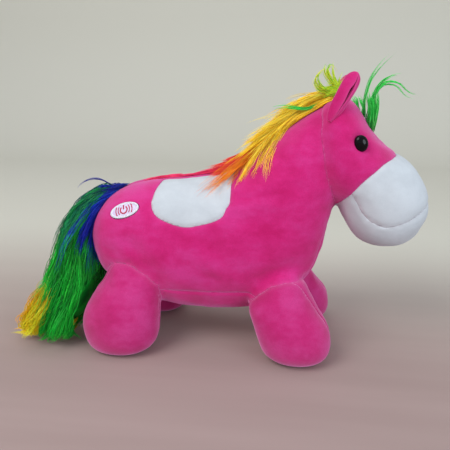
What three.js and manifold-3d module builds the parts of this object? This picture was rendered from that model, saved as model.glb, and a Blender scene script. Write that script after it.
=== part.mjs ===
// Plush pony, about 27 cm tall: a stuffed torso and neck, a ball-shaped head with a white muzzle,
// four stub legs, faux-fur mane and tail strips, and a press-switch sound unit in the belly.
// Millimetres, +X towards the head, +Z up. The pony's right side is at -Y.
import * as THREE from 'three';
import { mergeVertices } from 'three/addons/utils/BufferGeometryUtils.js';
import Module from 'manifold-3d';

const wasm = await Module();
wasm.setup();

// ---------------------------------------------------------------- driving dimensions
const GAP = 0.3;                 // air between two sewn or nested pieces
const CLOTH = 1.4;               // short-pile cover with its backing
const FILL_INSET = CLOTH + GAP;  // stuffing starts this far under the outer surface
const LEG_SWING = 6;             // degrees of room for a leg, which gives 5 each way at its seam
const LEG_CLEAR = 2.4;           // extra room round a leg's top in the torso
const LEG_RIM = 47;              // the seam between a leg's two panels is this far from the middle
const SEAM_RISE = 4.5;           // room above a leg's seam line

const HIND_HIP = { x: -88, z: 82 };
const FRONT_HIP = { x: 58, z: 72 };

const EYE = { x: 125, y: 38.5, z: 209, radius: 7.6, dome: 4.2, shank: 1.7, depth: 10 };
const EAR_BASE = { x: 101, y: 33, z: 229.5 };

const PATCH = { x: -92, y: -41, z: 142, length: 31, width: 16, tilt: 36, turn: -8, roll: 12 };
const PATCH_TRAVEL = 2.2;
const SWITCH = { radius: 9, depth: 9 };

const UNIT = { x: -12, z: 47, length: 62, width: 40, height: 23, wall: 1.6 };
const FLAP = { x: -12, length: 68, width: 44, gap: 0.8 };
const TAPE = { length: 10, width: 30, thick: 0.9 };
const CELL = { radius: 5.8, height: 5.4, count: 3 };
const SPEAKER = { radius: 12.5, height: 6 };
const LEAD_RADIUS = 0.9;

// ---------------------------------------------------------------- finishes
const PINK = 0xcd2378;
const PALE = 0xdfe3ea;
const finish = (color, roughness, metalness = 0) =>
  new THREE.MeshStandardMaterial({ color, roughness, metalness });
const pinkPlush = finish(PINK, 0.95);
const whitePlush = finish(PALE, 0.95);
const fibre = finish(0xf2efe8, 1);
const fur = {
  green: finish(0x1fb04a, 0.6),
  lime: finish(0xb9cc2e, 0.6),
  yellow: finish(0xf5b020, 0.6),
  orange: finish(0xf0603a, 0.6),
  crimson: finish(0xd01848, 0.6),
  blue: finish(0x1b2f9a, 0.6),
};
const tapeCloth = finish(0xb01a60, 0.9);
const plastic = finish(0xe9e7e0, 0.5);
const blackPlastic = finish(0x18181a, 0.4);
const glossBlack = finish(0x060507, 0.08);
const satin = finish(0xe9dbe8, 0.45);
const steel = finish(0xb9bcc0, 0.3, 1);
const boardGreen = finish(0x1d6b3c, 0.5);
const paperCone = finish(0x2b2b2e, 0.85);
const wireRed = finish(0xb02020, 0.5);

// ---------------------------------------------------------------- solids
const vec = (x, y, z) => new THREE.Vector3(x, y, z);

const toSolid = (geometry) => {
  const bare = geometry.clone();
  bare.deleteAttribute('normal');
  bare.deleteAttribute('uv');
  const merged = mergeVertices(bare, 1e-4);
  const vertProperties = new Float32Array(merged.attributes.position.array);
  const build = (triVerts) => {
    const mesh = new wasm.Mesh({ numProp: 3, vertProperties, triVerts });
    mesh.merge();
    return new wasm.Manifold(mesh);
  };
  const faces = new Uint32Array(merged.index.array);
  const body = build(faces);
  return body.volume() > 0 ? body : build(faces.reverse());
};

const toGeometry = (body) => {
  const mesh = body.getMesh();
  const geometry = new THREE.BufferGeometry();
  geometry.setAttribute('position', new THREE.BufferAttribute(mesh.vertProperties, 3));
  geometry.setIndex(new THREE.BufferAttribute(mesh.triVerts, 1));
  geometry.computeVertexNormals();
  return geometry;
};

// Keeps the largest piece of a cut, so that a node stays one body.
const largest = (body) => {
  const pieces = body.decompose();
  pieces.sort((a, b) => b.volume() - a.volume());
  return pieces[0];
};

const cutAll = (body, cutters) => cutters.reduce((left, cutter) => left.subtract(cutter), body);

const moved = (geometry, matrix) => geometry.clone().applyMatrix4(matrix);

const boxSolid = (lowest, highest) => {
  const size = highest.map((value, i) => value - lowest[i]);
  const geometry = new THREE.BoxGeometry(...size);
  geometry.translate(...lowest.map((value, i) => value + size[i] / 2));
  return toSolid(geometry);
};

// A closed outline in the XZ plane, extruded from y = from to y = to.
const slabSolid = (outline, from, to) => {
  const shape = new THREE.Shape(outline.map(([x, z]) => new THREE.Vector2(x, z)));
  const geometry = new THREE.ExtrudeGeometry(shape, { depth: to - from, bevelEnabled: false });
  geometry.rotateX(Math.PI / 2);
  geometry.translate(0, to, 0);
  return toSolid(geometry);
};

const rounded = (outline, count) => {
  const points = outline.map(([x, z]) => new THREE.Vector3(x, z, 0));
  const curve = new THREE.CatmullRomCurve3(points, true);
  return curve.getPoints(count).slice(0, count).map((p) => [p.x, p.y]);
};

// ---------------------------------------------------------------- stuffed forms
const power = (value, exponent) => Math.sign(value) * Math.abs(value) ** exponent;

const ringPoint = (ring, angle, inset, squareness) => {
  const u = ring.u.clone().setLength(ring.u.length() - inset);
  const v = ring.v.clone().setLength(ring.v.length() - inset);
  return ring.centre.clone()
    .addScaledVector(u, power(Math.cos(angle), 2 / squareness))
    .addScaledVector(v, power(Math.sin(angle), 2 / squareness));
};

// A closed form through rings, closed by a pole at each end. inset moves its surface inwards.
const stuffed = ({ rings, poles, sides, squareness }, inset = 0) => {
  const tip = (pole, ring) =>
    pole.clone().add(ring.centre.clone().sub(pole).setLength(Math.abs(inset) + 1e-6)
      .multiplyScalar(Math.sign(inset || 1)));
  const points = [tip(poles[0], rings[0])];
  for (const ring of rings) {
    for (let i = 0; i < sides; i += 1) {
      points.push(ringPoint(ring, (i / sides) * 2 * Math.PI, inset, squareness));
    }
  }
  points.push(tip(poles[1], rings[rings.length - 1]));
  const last = points.length - 1;
  const at = (ring, side) => 1 + ring * sides + (side % sides);
  const faces = [];
  for (let i = 0; i < sides; i += 1) {
    faces.push(0, at(0, i + 1), at(0, i));
    faces.push(last, at(rings.length - 1, i), at(rings.length - 1, i + 1));
    for (let r = 0; r < rings.length - 1; r += 1) {
      faces.push(at(r, i), at(r, i + 1), at(r + 1, i + 1));
      faces.push(at(r, i), at(r + 1, i + 1), at(r + 1, i));
    }
  }
  const geometry = new THREE.BufferGeometry();
  const positions = points.flatMap((p) => [p.x, p.y, p.z]);
  geometry.setAttribute('position', new THREE.Float32BufferAttribute(positions, 3));
  geometry.setIndex(faces);
  return toSolid(geometry);
};

// A rib runs from a top point to a bottom point of the side view and is 2 * half wide.
const rib = ([topX, topZ, bottomX, bottomZ, half, y = 0]) => ({
  centre: vec((topX + bottomX) / 2, y, (topZ + bottomZ) / 2),
  u: vec((topX - bottomX) / 2, 0, (topZ - bottomZ) / 2),
  v: vec(0, half, 0),
});

// A level ring of a leg.
const level = (side) => ([z, x, halfX, y, halfY]) => ({
  centre: vec(x, side * y, z),
  u: vec(halfX, 0, 0),
  v: vec(0, halfY, 0),
});

const TORSO = {
  poles: [vec(-136, 0, 112), vec(108, 0, 190)],
  sides: 16,
  squareness: 2.35,
  rings: [
    [-127, 138, -133, 84, 29],
    [-113, 150, -123, 66, 41],
    [-93, 159.5, -103, 51, 49],
    [-64, 166, -72, 39, 53],
    [-33, 170, -38, 33, 54],
    [0, 177, 0, 32, 53],
    [27, 190, 34, 36, 51],
    [47, 207, 62, 47, 48],
    [63, 221, 84, 68, 44.5],
    [77, 231, 96, 95, 41],
    [88, 237, 102, 122, 37.5],
    [97, 240, 107, 145, 32],
  ].map(rib),
};

const HEAD = {
  poles: [vec(91, 0, 237), vec(186, 0, 112)],
  sides: 16,
  squareness: 2.15,
  rings: [
    [97, 243, 89, 224, 24],
    [112, 248, 85, 205, 37],
    [126, 237, 86, 185, 43],
    [137, 220, 90, 168, 45],
    [150, 204, 98, 157, 44.5],
    [163.5, 193, 108, 148, 43],
    [177, 184, 119, 134, 43],
    [189, 171, 130, 120, 42.5],
    [196.5, 156, 142, 110, 40],
    [198, 140, 157, 104.5, 34],
    [194, 122, 171, 105, 22],
  ].map(rib),
};

// Leg rows: height, then the middle and half length along X, then the middle and half width in Y.
const HIND_LEG = [
  [96, -88, 18, 31, 13],
  [86, -88.5, 24, 34, 19],
  [74, -87.5, 29, 38, 23],
  [60, -92, 34, 43, 26],
  [45, -96, 38, 47, 28],
  [30, -98, 39.5, 49, 29],
  [15, -98, 37.5, 49.5, 28.5],
  [5, -98.5, 31, 49.5, 25.5],
  [0, -99, 20, 49, 18],
];
const FRONT_LEG = [
  [86, 61, 15, 31, 12],
  [76, 62, 21, 34, 19],
  [64, 61, 28, 38, 24],
  [52, 62, 34, 42, 26],
  [36, 70, 37, 46, 28],
  [20, 74.5, 35.5, 48, 28.5],
  [8, 76, 31, 48, 26],
  [0, 78, 20, 47.5, 17],
];
// The side panels are sewn to the legs along these lines; the panel is above, the leg below.
const HIND_SEAM = [[-124, 88], [-110, 91], [-101, 92.5], [-86, 89.5], [-69, 80], [-52, 62]];
const FRONT_SEAM = [[16, 42], [27, 56], [38, 67], [50, 76], [64, 80], [80, 80], [92, 70]];
// The left feet stand this far ahead of the right ones.
const LEFT_LEAN = { hind: 12, front: 4 };

const legForm = (rows, side) => {
  const rings = rows.map(level(side));
  const top = rings[0].centre;
  const sole = rings[rings.length - 1].centre;
  return { rings, sides: 12, squareness: 2.2, poles: [top.clone().add(vec(0, 0, 3)), sole.clone()] };
};

const leaning = (rows, hip, lean) =>
  rows.map(([z, x, ...rest]) => [z, x + lean * (1 - z / hip.z), ...rest]);

const LEGS = [
  { name: 'front_leg_right', side: -1, rows: FRONT_LEG, hip: FRONT_HIP, seam: FRONT_SEAM, lean: 0 },
  {
    name: 'front_leg_left', side: 1, rows: FRONT_LEG, hip: FRONT_HIP, seam: FRONT_SEAM, lean: LEFT_LEAN.front,
  },
  { name: 'hind_leg_right', side: -1, rows: HIND_LEG, hip: HIND_HIP, seam: HIND_SEAM, lean: 0 },
  { name: 'hind_leg_left', side: 1, rows: HIND_LEG, hip: HIND_HIP, seam: HIND_SEAM, lean: LEFT_LEAN.hind },
].map((leg) => {
  const rows = leaning(leg.rows, leg.hip, leg.lean);
  return { ...leg, rows, form: legForm(rows, leg.side) };
});

const FAR = 400;
const belowSeam = (seam, rise) => {
  const line = seam.map(([x, z]) => [x, z + rise]).reverse();
  const [right, left] = [line[0], line[line.length - 1]];
  return slabSolid([[left[0] - FAR, -FAR], [right[0] + FAR, -FAR], ...line], -FAR, FAR);
};

// The room in the torso for everything a leg passes through as it gives at its seam: each ring
// is widened by its swing about the hip and lifted by the rise of its front and back.
const legRoom = (leg) => {
  const sine = Math.sin(THREE.MathUtils.degToRad(LEG_SWING));
  const rows = leg.rows.map(([z, x, halfX, y, halfY]) => {
    const reach = Math.abs(z - leg.hip.z) * sine + LEG_CLEAR;
    return [z + halfX * sine + LEG_CLEAR, x, halfX + reach, y, halfY + LEG_CLEAR];
  });
  return stuffed(legForm(rows, leg.side)).intersect(belowSeam(leg.seam, SEAM_RISE));
};

const halfSpace = (side) => (side < 0
  ? boxSolid([-FAR, -FAR, -FAR], [FAR, -GAP / 2, FAR])
  : boxSolid([-FAR, GAP / 2, -FAR], [FAR, FAR, FAR]));

// ---------------------------------------------------------------- the assembly
const pony = new THREE.Group();
pony.name = 'plush_pony';

const put = (name, body, material) => {
  const mesh = new THREE.Mesh(toGeometry(largest(body)), material);
  mesh.name = name;
  pony.add(mesh);
};

const skin = (form) => stuffed(form).subtract(stuffed(form, CLOTH));

// ---- regions of the covers, drawn in the side view
const GUSSET_OUTLINE = [
  [-160, 62], [70, 63], [84, 70], [93, 92], [98, 112], [106, 138], [140, 138], [140, -20], [-160, -20],
];
const SADDLE_OUTLINE = rounded([
  [-50, 180], [-59, 166], [-62, 154], [-58, 142], [-45, 134.5], [-28, 131.5], [-11, 134],
  [1, 140], [8, 149], [10, 160], [11, 186], [-20, 196],
], 18);
const MUZZLE_OUTLINE = [
  [104, 140], [107, 150], [114.5, 159.5], [128, 171], [140, 181.5], [154, 191.5], [164, 194.5], [240, 196],
  [240, 60], [104, 60],
];
const CHIN_OUTLINE = rounded([
  [111, 163], [117, 153], [122, 145], [130, 137], [140, 131], [153, 129], [166, 131.5], [178, 137], [190, 146],
  [206, 152], [215, 120], [190, 88], [140, 90], [104, 120], [100, 150],
], 20);
const saddleRegion = (inset, side) => {
  const centre = new THREE.Vector2(-27, 163);
  const points = SADDLE_OUTLINE.map(([x, z]) => {
    const out = new THREE.Vector2(x, z).sub(centre);
    return out.setLength(out.length() - inset).add(centre).toArray();
  });
  return side < 0 ? slabSolid(points, -FAR, -12) : slabSolid(points, 12, FAR);
};

// ---- the press patch on the right flank, in its own frame: local +Z points out of the flank
const patchFrame = new THREE.Matrix4()
  .makeTranslation(PATCH.x, PATCH.y, PATCH.z)
  .multiply(new THREE.Matrix4().makeRotationX(THREE.MathUtils.degToRad(90 - PATCH.tilt)))
  .multiply(new THREE.Matrix4().makeRotationY(THREE.MathUtils.degToRad(PATCH.turn)))
  .multiply(new THREE.Matrix4().makeRotationZ(THREE.MathUtils.degToRad(PATCH.roll)));

const ovalDisc = (length, width, thickness, lift) => {
  const shape = new THREE.Shape();
  shape.absellipse(0, 0, length / 2, width / 2, 0, 2 * Math.PI);
  const geometry = new THREE.ExtrudeGeometry(shape, {
    depth: thickness, bevelEnabled: false, curveSegments: 14,
  });
  geometry.translate(0, 0, lift);
  return geometry;
};

const drum = (radius, height, lift, segments = 20) => {
  const geometry = new THREE.CylinderGeometry(radius, radius, height, segments);
  geometry.rotateX(Math.PI / 2);
  geometry.translate(0, 0, lift + height / 2);
  return geometry;
};

const inPatch = (geometry) => toSolid(moved(geometry, patchFrame));
const patchHole = inPatch(ovalDisc(PATCH.length + 1, PATCH.width + 1, 16, -8));

const capTop = -CLOTH - GAP;
const capDepth = 2;
const housingTop = capTop - capDepth - GAP - PATCH_TRAVEL;
const PLUNGER = 3.2;

const addSwitch = () => {
  put('press_patch', inPatch(ovalDisc(PATCH.length, PATCH.width, CLOTH, -CLOTH)), satin);
  const cap = inPatch(ovalDisc(PATCH.length - 6, PATCH.width - 4, capDepth, capTop - capDepth));
  const plunger = inPatch(drum(PLUNGER, PATCH_TRAVEL + 1 + 2, capTop - capDepth - PATCH_TRAVEL - 2.5));
  put('switch_plunger', cap.add(plunger), blackPlastic);
  const block = inPatch(drum(SWITCH.radius, SWITCH.depth, housingTop - SWITCH.depth, 24));
  const well = inPatch(drum(PLUNGER + GAP, PATCH_TRAVEL * 2 + 3, housingTop - PATCH_TRAVEL * 2 - 1));
  put('switch_housing', block.subtract(well), plastic);
};

const switchPocket = inPatch(ovalDisc(PATCH.length + 3, 2 * SWITCH.radius + 2,
  18, housingTop - SWITCH.depth - 1));

// ---- the lead from the switch down to the sound unit
const LEAD_ENTRY = -29;
const leadExit = (depth) => vec(0, 0, housingTop - SWITCH.depth - depth).applyMatrix4(patchFrame);
const LEAD_POINTS = [
  leadExit(0.6), leadExit(5), vec(-80, -16, 120), vec(-66, -8, 106), vec(-50, -2, 91),
  vec(-35, 0, 80), vec(LEAD_ENTRY, 0, 70), vec(LEAD_ENTRY, 0, 57.6),
];
const lead = (radius) => {
  const path = new THREE.CatmullRomCurve3(LEAD_POINTS);
  const circle = new THREE.Shape();
  circle.absarc(0, 0, radius, 0, 2 * Math.PI);
  return new THREE.ExtrudeGeometry(circle, { steps: 16, extrudePath: path, curveSegments: 4 });
};

// ---- the sound unit, its cover facing the belly opening
const unitLow = [UNIT.x - UNIT.length / 2, -UNIT.width / 2, UNIT.z];
const unitHigh = [UNIT.x + UNIT.length / 2, UNIT.width / 2, UNIT.z + UNIT.height];
const grown = (low, high, by) => [low.map((v) => v - by), high.map((v) => v + by)];
const upright = (radius, height, x, y, z, segments = 20) => {
  const geometry = drum(radius, height, 0, segments);
  geometry.translate(x, y, z);
  return geometry;
};

const plateTop = UNIT.z + 0.2 + UNIT.wall;
const screwX = unitLow[0] + UNIT.wall + 5;

const addUnitHousing = (innerLow, innerHigh) => {
  const tray = boxSolid(unitLow, unitHigh).subtract(boxSolid(innerLow, innerHigh));
  const leadHole = toSolid(upright(LEAD_RADIUS + GAP, 8, LEAD_ENTRY, 0, unitHigh[2] - 4, 8));
  const boss = toSolid(upright(3, unitHigh[2] - plateTop - 1, screwX, 0, plateTop + GAP, 14));
  const bore = toSolid(upright(1.5, 8, screwX, 0, plateTop, 12));
  put('unit_housing', tray.subtract(leadHole).add(boss.subtract(bore)), plastic);
};

const addUnitCover = (innerLow, innerHigh, speakerX) => {
  const floor = plateTop - UNIT.wall;
  const plate = boxSolid([innerLow[0] + GAP, innerLow[1] + GAP, floor],
    [innerHigh[0] - GAP, innerHigh[1] - GAP, plateTop]);
  const slots = [-7, -3.5, 0, 3.5, 7].map((y) =>
    boxSolid([speakerX - 8, y - 0.8, floor - 1], [speakerX + 8, y + 0.8, plateTop + 1]));
  const screwHole = toSolid(upright(1.5, 6, screwX, 0, floor - 2, 12));
  put('unit_cover', cutAll(plate, [...slots, screwHole]), plastic);
  const shaft = toSolid(upright(1.2, 5.7, screwX, 0, floor - 0.7, 12));
  const head = toSolid(upright(2.4, 1.1, screwX, 0, floor - 1.1 - GAP / 2, 12));
  put('cover_screw', shaft.add(head), steel);
};

const addElectronics = (speakerX) => {
  const cellZ = plateTop + 0.4;
  const row = 2 * CELL.radius + GAP;
  const cellX = screwX + 11;
  for (let i = 0; i < CELL.count; i += 1) {
    const cell = upright(CELL.radius, CELL.height, cellX, (i - 1) * row, cellZ);
    put(`button_cell_${i + 1}`, toSolid(cell), steel);
  }
  const cellTop = cellZ + CELL.height + 0.2;
  put('contact_plate', boxSolid([cellX - 6, -15, cellTop], [cellX + 6, 15, cellTop + 0.6]), steel);
  put('circuit_board', boxSolid([cellX - 7, -15, cellTop + 1], [cellX + 13, 15, cellTop + 2.4]), boardGreen);
  const profile = [
    [0, 1.6], [5, 1.6], [SPEAKER.radius, 0], [SPEAKER.radius, 2], [7, 3.2], [7, SPEAKER.height],
    [0, SPEAKER.height],
  ].map(([r, z]) => new THREE.Vector2(r, z));
  const basket = new THREE.LatheGeometry(profile, 20);
  basket.rotateX(Math.PI / 2);
  basket.translate(speakerX, 0, plateTop + 0.5);
  put('speaker', toSolid(basket), paperCone);
};

const addSoundUnit = () => {
  const { wall } = UNIT;
  const innerLow = [unitLow[0] + wall, unitLow[1] + wall, unitLow[2] - 1];
  const innerHigh = [unitHigh[0] - wall, unitHigh[1] - wall, unitHigh[2] - wall];
  const speakerX = innerHigh[0] - SPEAKER.radius - 1.5;
  addUnitHousing(innerLow, innerHigh);
  addUnitCover(innerLow, innerHigh, speakerX);
  addElectronics(speakerX);
};

// ---- torso and neck
const legRooms = LEGS.map(legRoom);
const headSwollen = stuffed(HEAD, -GAP);
const flapBox = (shrink) => boxSolid(
  [FLAP.x - FLAP.length / 2 + shrink, -FLAP.width / 2 + shrink, 0],
  [FLAP.x + FLAP.length / 2 - shrink, FLAP.width / 2 - shrink, 60]);

const gussetRegion = slabSolid(GUSSET_OUTLINE, -FAR, FAR);
const gussetInner = slabSolid(GUSSET_OUTLINE.map(([x, z]) => [x + (z > 64 ? GAP : 0), z - GAP]), -FAR, FAR);

const addTorso = () => {
  const cover = cutAll(skin(TORSO), [...legRooms, headSwollen]);
  for (const [name, side] of [['right', -1], ['left', 1]]) {
    const panel = cover.intersect(halfSpace(side)).subtract(gussetRegion);
    const saddleHole = saddleRegion(0, side);
    const open = side < 0 ? panel.subtract(patchHole) : panel;
    put(`side_panel_${name}`, open.subtract(saddleHole), pinkPlush);
    put(`saddle_patch_${name}`, panel.intersect(saddleRegion(GAP, side)), whitePlush);
  }
  const gusset = cover.intersect(gussetInner);
  put('belly_gusset', gusset.subtract(flapBox(0)), pinkPlush);
  put('belly_flap', gusset.intersect(flapBox(FLAP.gap)), pinkPlush);

  const tapeEnd = FLAP.x + FLAP.length / 2 - 2.5;
  const tapeBox = boxSolid([tapeEnd - TAPE.length, -TAPE.width / 2, 0], [tapeEnd, TAPE.width / 2, 60]);
  const layer = (outer) => stuffed(TORSO, outer)
    .subtract(stuffed(TORSO, outer + TAPE.thick))
    .intersect(tapeBox);
  put('hook_tape', layer(FILL_INSET), tapeCloth);
  put('loop_tape', layer(FILL_INSET + TAPE.thick + GAP), tapeCloth);

  const unitRoom = grown(unitLow, unitHigh, GAP);
  const pocket = boxSolid([unitRoom[0][0], unitRoom[0][1], 0], unitRoom[1]);
  const tapeRoom = boxSolid([tapeEnd - TAPE.length - 1, -TAPE.width / 2 - GAP, 0],
    [tapeEnd + 1.5, TAPE.width / 2 + GAP, UNIT.z + 1]);
  const fill = cutAll(stuffed(TORSO, FILL_INSET),
    [...legRooms, headSwollen, pocket, tapeRoom, switchPocket, toSolid(lead(LEAD_RADIUS + GAP))]);
  put('torso_stuffing', fill, fibre);
};

// ---- legs: an outer and an inner panel sewn round the edge, and the filling
const addLegs = () => {
  for (const leg of LEGS) {
    const sewnPart = belowSeam(leg.seam, 0);
    const filling = (inset) => stuffed(leg.form, inset)
      .intersect(boxSolid([-FAR, -FAR, inset], [FAR, FAR, FAR]));
    const cover = stuffed(leg.form).subtract(filling(CLOTH)).intersect(sewnPart);
    const seamY = leg.side * LEG_RIM;
    const below = boxSolid([-FAR, -FAR, -FAR], [FAR, seamY - GAP / 2, FAR]);
    const above = boxSolid([-FAR, seamY + GAP / 2, -FAR], [FAR, FAR, FAR]);
    const [outer, inner] = leg.side < 0 ? [below, above] : [above, below];
    put(`${leg.name}_outer`, cover.intersect(outer), pinkPlush);
    put(`${leg.name}_inner`, cover.intersect(inner), pinkPlush);
    put(`${leg.name}_stuffing`, filling(FILL_INSET).intersect(sewnPart), fibre);
  }
};

// ---- head
const eyeParts = (side) => {
  const frame = new THREE.Matrix4().makeTranslation(EYE.x, side * EYE.y, EYE.z)
    .multiply(new THREE.Matrix4().makeRotationZ(side < 0 ? 0.16 : Math.PI - 0.16))
    .multiply(new THREE.Matrix4().makeRotationX(Math.PI / 2));
  const profile = [[0, 0.4], [EYE.radius, 0.4]];
  for (let i = 1; i < 4; i += 1) {
    const angle = (i / 4) * (Math.PI / 2);
    profile.push([EYE.radius * Math.cos(angle), 0.4 + EYE.dome * Math.sin(angle)]);
  }
  profile.push([0, 0.4 + EYE.dome]);
  const dome = new THREE.LatheGeometry(profile.map(([r, z]) => new THREE.Vector2(r, z)), 16);
  dome.rotateX(Math.PI / 2);
  const shank = drum(EYE.shank, EYE.depth + 1, -EYE.depth, 12);
  const washer = drum(6, 1.2, -7.4, 14);
  const bore = drum(EYE.shank + GAP, 4, -9, 12);
  const room = drum(6.6, EYE.depth + 2, -EYE.depth - 0.5, 14);
  const hole = drum(EYE.shank + GAP, 14, -9, 12);
  const place = (geometry) => toSolid(moved(geometry, frame));
  const seat = place(drum(EYE.radius + 0.6, 8, 0.1, 20));
  return {
    eye: place(dome).add(place(shank)),
    washer: place(washer).subtract(place(bore)),
    room: place(room),
    hole: place(hole),
    seat,
  };
};

const addHead = () => {
  const eyes = [-1, 1].map((side) => ({ side, name: side < 0 ? 'right' : 'left', ...eyeParts(side) }));
  const muzzle = slabSolid(MUZZLE_OUTLINE, -FAR, FAR);
  const muzzleInner = slabSolid(MUZZLE_OUTLINE.map(([x, z]) => [x + GAP * 0.6, z - GAP * 0.8]), -FAR, FAR);
  const chin = slabSolid(CHIN_OUTLINE, -FAR, FAR);
  const cover = cutAll(skin(HEAD), eyes.flatMap((eye) => [eye.hole, eye.seat]));
  for (const eye of eyes) {
    put(`cheek_panel_${eye.name}`, cover.intersect(halfSpace(eye.side)).subtract(muzzle), pinkPlush);
    put(`eye_${eye.name}`, eye.eye, glossBlack);
    put(`eye_washer_${eye.name}`, eye.washer, blackPlastic);
  }
  const white = skin(HEAD).intersect(muzzleInner);
  const chinInner = slabSolid(CHIN_OUTLINE.map(([x, z]) => [x, z - GAP]), -FAR, FAR);
  put('muzzle_panel', white.subtract(chin), whitePlush);
  put('chin_panel', white.intersect(chinInner), whitePlush);
  const rooms = eyes.flatMap((eye) => [eye.room, eye.seat]);
  put('head_stuffing', cutAll(stuffed(HEAD, FILL_INSET), rooms), fibre);
};

// ---- ears: a folded outer leaf with a lining leaf in its fold
const addEar = (name, side) => {
  const headSurface = stuffed(HEAD, -GAP);
  const frame = new THREE.Matrix4().makeTranslation(EAR_BASE.x, side * EAR_BASE.y, EAR_BASE.z)
    .multiply(new THREE.Matrix4().makeRotationX(side * -0.04))
    .multiply(new THREE.Matrix4().makeRotationY(0.5));
  const leaf = (rows, sides) => {
    const rings = rows.map(([z, halfX, halfY, x = 0]) => ({
      centre: vec(x, 0, z), u: vec(halfX, 0, 0), v: vec(0, halfY, 0),
    }));
    const ends = [vec(rings[0].centre.x, 0, rows[0][0]), vec(0, 0, rows[rows.length - 1][0] + 1.5)];
    return stuffed({ rings, poles: ends, sides, squareness: 2 });
  };
  const outer = leaf([
    [1, 4, 2.5], [8, 6, 3.6], [18, 7, 4.6], [28, 7.4, 4.8], [37, 6.4, 4.2], [42, 3.6, 2.6],
  ], 10);
  const fold = (grow) => leaf([
    [13 - grow, 4 + grow, 0.7 + grow, 5], [22, 6.5 + grow, 0.9 + grow, 5], [32, 6 + grow, 0.9 + grow, 5],
    [38 + grow, 3 + grow, 0.7 + grow, 4],
  ], 8);
  const place = (body) => toSolid(moved(toGeometry(body), frame)).subtract(headSurface);
  put(`ear_${name}`, place(outer.subtract(fold(GAP))), pinkPlush);
  put(`ear_lining_${name}`, place(outer.intersect(fold(0))), pinkPlush);
};

// ---- faux fur: each tuft is a lock with its own colour
const lock = (rows, sides = 10, squareness = 2) => {
  const rings = rows.slice(1, -1).map(rib);
  const end = (row) => vec(row[0], row[2] ?? 0, row[1]);
  return stuffed({ rings, poles: [end(rows[0]), end(rows[rows.length - 1])], sides, squareness });
};

const BACKING_TOP = [
  [141, 222], [134, 234], [127, 243], [118, 249.5], [108, 251], [97, 247], [84, 240], [66, 227.5], [50, 214], [31, 196.5],
  [2, 181.5], [-32, 174], [-64, 170], [-84, 165.5],
];
const backing = (grow) => {
  const last = BACKING_TOP.length - 1;
  const over = BACKING_TOP.map(([x, z], i) => [x + (i === 0 ? grow : 0) - (i === last ? grow : 0), z + grow]);
  const under = over.map(([x, z]) => [x - 1.5, z - 9]).reverse();
  return slabSolid([...over, ...under], -1.5 - grow, 1.5 + grow);
};

const addMane = () => {
  const under = [stuffed(TORSO, -GAP), headSwollen, backing(GAP)];
  put('mane_backing', cutAll(backing(0), under.slice(0, 2)), tapeCloth);
  const tufts = [
    ['forelock', [[140, 216], [146, 222, 126, 226, 9], [146, 232, 118, 244, 12], [149, 250, 128, 252, 8],
      [153, 266, 143, 266, 5], [158, 278, 152, 279, 2.5], [160, 284]], fur.green],
    ['poll_tuft', [[112, 247], [114, 254, 90, 243, 8], [112, 262, 84, 257, 9], [102, 270, 88, 267, 5], [95, 276]],
      fur.lime],
    ['crest_mane', [[92, 240], [84, 251, 84, 230, 9], [66, 243, 70, 218, 13], [47, 229, 56, 200, 16],
      [28, 211, 40, 184, 17], [20, 196]], fur.yellow],
    ['withers_mane', [[24, 200], [14, 199, 26, 178, 17], [0, 190, 6, 168, 18], [-12, 182, -8, 170, 10], [-20, 176]],
      fur.orange],
    ['back_fringe', [[-22, 174], [-30, 179, -30, 168, 5], [-64, 175, -64, 164, 5], [-80, 171, -82, 160, 4],
      [-90, 162]], fur.crimson],
  ];
  const done = [];
  for (const [name, rows, material] of tufts) {
    const body = largest(cutAll(lock(rows), [...under, ...done]));
    put(name, body, material);
    done.push(toSolid(toGeometry(body)));
  }
};

const TAIL_ROWS = [
  [-110, 156, 0], [-114, 167, -122, 149, 11, 0], [-134, 166, -134, 134, 17, -2], [-156, 152, -141, 114, 21, -6],
  [-172, 124, -144, 92, 23, -11], [-184, 88, -147, 62, 25, -18], [-198, 54, -149, 34, 27, -26],
  [-214, 26, -151, 14, 27, -33], [-222, 5, -156, 3, 20, -36], [-192, 1, -36],
];
const addTail = () => {
  const tongue = (grow) => slabSolid([[-110, 161], [-124, 160], [-137, 152], [-136, 147], [-124, 153], [-111, 153]]
    .map(([x, z], i) => [x + (i > 0 && i < 4 ? -grow : 0), z + (i < 3 ? grow : -grow)]), -9 - grow, 9 + grow);
  const body = stuffed(TORSO, -GAP);
  const hair = lock(TAIL_ROWS, 12).subtract(body).subtract(tongue(GAP));
  const band = (from, to) => slabSolid([[FAR, to], [-FAR, to], [-FAR, from], [FAR, from]], -FAR, FAR);
  put('tail_backing', tongue(0).subtract(body), tapeCloth);
  put('tail_hair_blue', hair.intersect(band(118, 300)), fur.blue);
  put('tail_hair_green', hair.intersect(band(36, 118 - GAP)), fur.green);
  put('tail_hair_yellow', hair.intersect(band(-10, 36 - GAP)), fur.yellow);
};

addTorso();
addLegs();
addHead();
addEar('right', -1);
addEar('left', 1);
addMane();
addTail();
addSwitch();
addSoundUnit();
put('switch_lead', toSolid(lead(LEAD_RADIUS)), wireRed);

// The origin stands under the middle of the whole object.
const extent = new THREE.Box3().setFromObject(pony);
pony.position.set(-(extent.min.x + extent.max.x) / 2, -(extent.min.y + extent.max.y) / 2, -extent.min.z);

export default pony;
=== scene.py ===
import math

import bpy
import numpy as np
from mathutils import Matrix, Vector
from mathutils.bvhtree import BVHTree
from mathutils.kdtree import KDTree


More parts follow.
